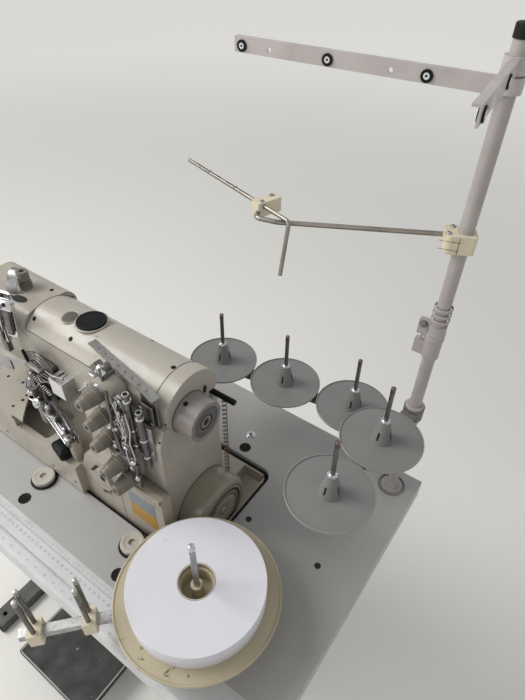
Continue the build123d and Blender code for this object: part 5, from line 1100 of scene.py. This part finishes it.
for h in (-26, -22, -14, -10, -5):
    neck, r = 6.4 if h < -15 else 8.8, 10.2 if h < -20 else 9.4
    ridged.lathe(top, [(neck, h), (r, h + 0.3), (r + 0.2, h + 1.2), (r, h + 2.1), (neck, h + 2.4)],
                 44)
ridged.done("pressure_rings", "knob_cream", "pressure_knob")
# The hole in the top of the pressure knob is drawn as a dark disc at its bottom and a dark ring at
# its rim, both painted shade.
Shape().lathe(top, [(3.4, -3), (0, -3)], 24).lathe(
    top, [(3.5, -0.2), (3.9, 0.15), (4.4, 0.1)], 24).done(
    "pressure_hole", "hole_painted_shade", "pressure_knob")
Shape().tops(
    (-46, -74, 902, 20, 16, 10, 12, 1.4), (-30, -80, 912, -15, 12, 8, 16, 1.4),
    (-52, -66, 890, 10, 22, 12, 8, 1.4), (-20, -76, 896, 30, 10, 14, 8, 1.4),
    (-36, -70, 926, 0, 9, 9, 18, 1.4), (-8, -74, 888, -20, 16, 8, 7, 1.4),
).wires(
    10, (2, (-60, -66, 880), (-48, -78, 900), (-34, -84, 916), (-14, -80, 934), (-4, -74, 950)),
    (2.4, (-26, -68, 872), (-30, -72, 890), (-28, -76, 920), (-22, -76, 944)),
).done("guide_cluster_dark", "dark_steel", angle=50)
cluster = Shape()
for place, way, r in (
    ((-46, -81, 903), (0.1, -1, 0.5), 5), ((-30, -85, 914), (0, -1, 0.3), 4),
    ((-20, -84, 897), (0.3, -1, 0.4), 4.6), ((-52, -72, 895), (0, -0.4, 1), 5.4),
    ((-8, -79, 890), (0, -1, 0.6), 4.2), ((-36, -75, 936), (0, -0.5, 1), 3.6),
):
    cluster.lathe(basis(mm(*place), way), [
        (0, -3), (r, -3), (r, 0.4), (r * 0.9, 1.2), (r * 0.5, 1.7), (r * 0.5, 3), (0, 3.2)], 22)
cluster.wires(
    8, (1.2, (-64, -74, 872), (-52, -82, 884), (-40, -88, 900), (-30, -90, 906), (-20, -88, 902)),
    (1.3, (-70, -60, 884), (-58, -74, 896), (-42, -84, 922), (-36, -82, 940)),
).done("guide_cluster_bright", "bright_steel", angle=50)

# Cover plates and guides on the front of the needle head.
way, side = (0.1, -1, 0), (1, 0.15, 0)
Shape().plate(
    basis(mm(-60, -66, 1052), (0.25, -1, 0.15), (1, 0.22, 0)), slab(40, 78, 4), 2.4, 0.6
).box(basis(mm(-46, -72, 1078), (0.25, -1, 0.3), (1, 0.22, 0)), (42, 16, 9), 1.6).box(
    basis(mm(-66, -73, 1030), way, side), (14, 60, 8), 1.6).done("head_plates", "bright_steel")
Shape().box(
    basis(mm(-44, -71, 1050), (0.25, -1, 0.1), (1, 0.22, 0)), (10, 54, 6), 1.2
).box(basis(mm(-78, -72, 1060), way, side), (9, 44, 9), 1.4).box(
    basis(mm(-70, -74, 992), way, side), (12, 26, 9), 1.4).wires(
    10, (1.8, (-52, -74, 1086), (-54, -79, 1062), (-60, -80, 1036), (-66, -78, 1004)),
).done("head_plate_ribs", "dark_steel", angle=50)
screws("head_plate_screw", 3.2, on_front, (
    (-52, -78.4, 1079), (-38, -78.4, 1080), (-66, -78.4, 1052), (-67, -78.4, 1012)),
    "bright_steel", "dark_steel")

# Levers over the tension knobs, and the dark parts between the knobs and the tubes, which are
# partly dark hardware and partly painted shade of the gaps there.
Shape().box(basis(mm(149, -66, 1050), (0.1, -1, 0.2), (0.8, 0, -0.6)), (28, 12, 14), 1.4).box(
    basis(mm(163, -67, 1030), (0, -1, 0.1), (0.1, 0, -1)), (52, 9, 18), 1.4).box(
    basis(mm(160, -64, 1054), FRONT, (0.2, 0, -1)), (24, 8, 12), 1.6).fronts(
    (205, -84, 1036, 12, 34, 8, 1.4), (211, -86, 1002, 10, 36, 7, 1.4),
    (208, -93, 958, 16, 30, 8, 1.6), (219, -97, 928, 16, 24, 8, 1.6),
    (186, -92, 952, 14, 12, 9, 1.4),
).wires(10, (2, (156, -73, 1064), (164, -77, 1048), (167, -77, 1028), (188, -84, 1012))).done(
    "tension_levers_and_shade", "dark_steel", angle=50)
Shape().box(basis(mm(157, -72, 1059), (0.1, -1, 0.5), (0.8, 0, -0.5)), (16, 9, 4), 1).fronts(
    (202, -92, 1022, 9, 12, 4, 1)
).wires(
    8, (1.3, (196, -92, 1040), (206, -95, 1018), (212, -94, 990), (206, -96, 966),
        (216, -101, 940)),
    (1.1, (214, -90, 1030), (222, -94, 1004), (216, -94, 978), (226, -98, 952)),
).done("tension_wires", "bright_steel", angle=50)
screws("lever_cap", 3.4, on_front, (
    (149, -73.5, 1053), (163, -76.5, 1024), (207, -89.5, 1046), (210, -98, 966),
    (220, -102, 934), (187, -97.5, 954)), "satin_steel", "bright_steel")

# The broad dark plate under the thread levers and the black mechanism by the guard box.
Shape().plate(
    basis(mm(2, -74, 864.8), (-0.06, -0.12, 1), (1, -0.27, 0)), slab(136, 24, 5), 3, 0.8
).tops((-56, -56, 872, -16, 26, 20, 14, 2), (60, -92, 872, -16, 26, 18, 10, 2)).done(
    "lever_plate", "dark_steel")
Shape().fronts((-6, -66, 940, 40, 34, 14, 2), (12, -68, 928, 22, 20, 10, 2)).wires(
    10, (2.6, (-34, -72, 996), (-20, -76, 984), (-8, -76, 960), (6, -78, 936)),
).done("guide_block", "black_gloss", angle=50)
Shape().wires(
    8, (1.7, (-29, -70, 993), (-1, -73, 1009), (23, -74, 1009), (33, -71, 990)),
    (1.7, (-28, -71, 989), (0, -74, 1004), (22, -75, 1003), (34, -72, 987)),
    (1.7, (-26, -72, 985), (0, -75, 999), (21, -76, 997), (35, -73, 983)),
    (1.7, (-33, -70, 975), (-7, -73, 987), (13, -74, 983), (29, -71, 972)),
    (1.7, (-31, -71, 971), (-6, -74, 982), (12, -75, 976), (31, -72, 969)),
    (1.7, (-30, -72, 967), (-6, -75, 976), (11, -76, 970), (32, -73, 965)),
    (1.7, (-36, -70, 956), (-13, -73, 964), (2, -74, 955), (26, -71, 954)),
).done("guide_wires", "dark_steel", angle=60)
coils = Shape()
for x, z, turns in ((-18, 956, 7), (2, 944, 6)):
    for i in range(turns):
        coils.lathe(basis(mm(x + 2.6 * i, -76, z - 2.2 * i), (0.76, 0, -0.64)), [
            (3.2, -0.6), (4.2, -0.4), (4.4, 0.2), (4.2, 0.8), (3.2, 1)], 20)
coils.done("guide_coils", "bright_steel")

# Stage
half = 20
corners = [(-half, -half, 0), (half, -half, 0), (half, half, 0), (-half, half, 0)]
mesh = bpy.data.meshes.new("floor")
mesh.from_pydata(corners, [], [(0, 1, 2, 3)])
floor = bpy.data.objects.new("floor", mesh)
scene.collection.objects.link(floor)
pale = Look("floor_pale", (0.84, 0.825, 0.78), 0.8)
pale.base = (0.85, 0.835, 0.79)
pale.layer((0.83, 0.815, 0.77), 1, 0.3, 0.7, 0.7, 3, 0.55)
# Far from the object the camera sees the floor as a pale backdrop.
away = pale.node("VectorMath", "Value", {0: pale.at}, operation="LENGTH")
far = pale.node("MapRange", "Result", {"Value": away, "From Min": 1.4, "From Max": 7,
                                       "To Max": 0.34}, interpolation_type="SMOOTHSTEP")
pale.put({"Base Color": pale.base, "Emission Color": (0.87, 0.85, 0.8),
          "Emission Strength": pale.calc("MULTIPLY", far, seen_rays(pale.tree))})
mesh.materials.append(pale.material)

# The camera sees a paler sky than the one that lights the object.
world = scene.world or bpy.data.worlds.new("world")
scene.world = world
world.use_nodes = True
tree = world.node_tree
sky = tree.nodes["Background"]
strength = add_node(tree, "MapRange", "Result", {
    "Value": seen_rays(tree), "To Min": 0.46, "To Max": 0.7})
feed(tree, sky.inputs["Color"], (0.96, 0.98, 1))
feed(tree, sky.inputs["Strength"], strength)
for name, place, aim, size, power, tint in (
    ("key", (-2, -0.9, 3.3), (0.1, -0.1, 0.8), 1.6, 74, (1, 0.99, 0.97)),
    ("side", (-1.7, -2.7, 1.7), (0.1, 0, 0.9), 1.6, 26, (1, 0.99, 0.97)),
    ("fill", (2.4, -1.6, 2.4), (0.2, 0, 0.9), 2.6, 5, (1, 0.98, 0.95)),
):
    data = bpy.data.lights.new(name, "AREA")
    data.shape = "SQUARE"
    data.size = size
    data.energy = power
    data.color = tint
    lamp = bpy.data.objects.new(name, data)
    scene.collection.objects.link(lamp)
    lamp.matrix_world = basis(Vector(place), Vector(place) - Vector(aim))
scene.view_settings.view_transform = "Standard"
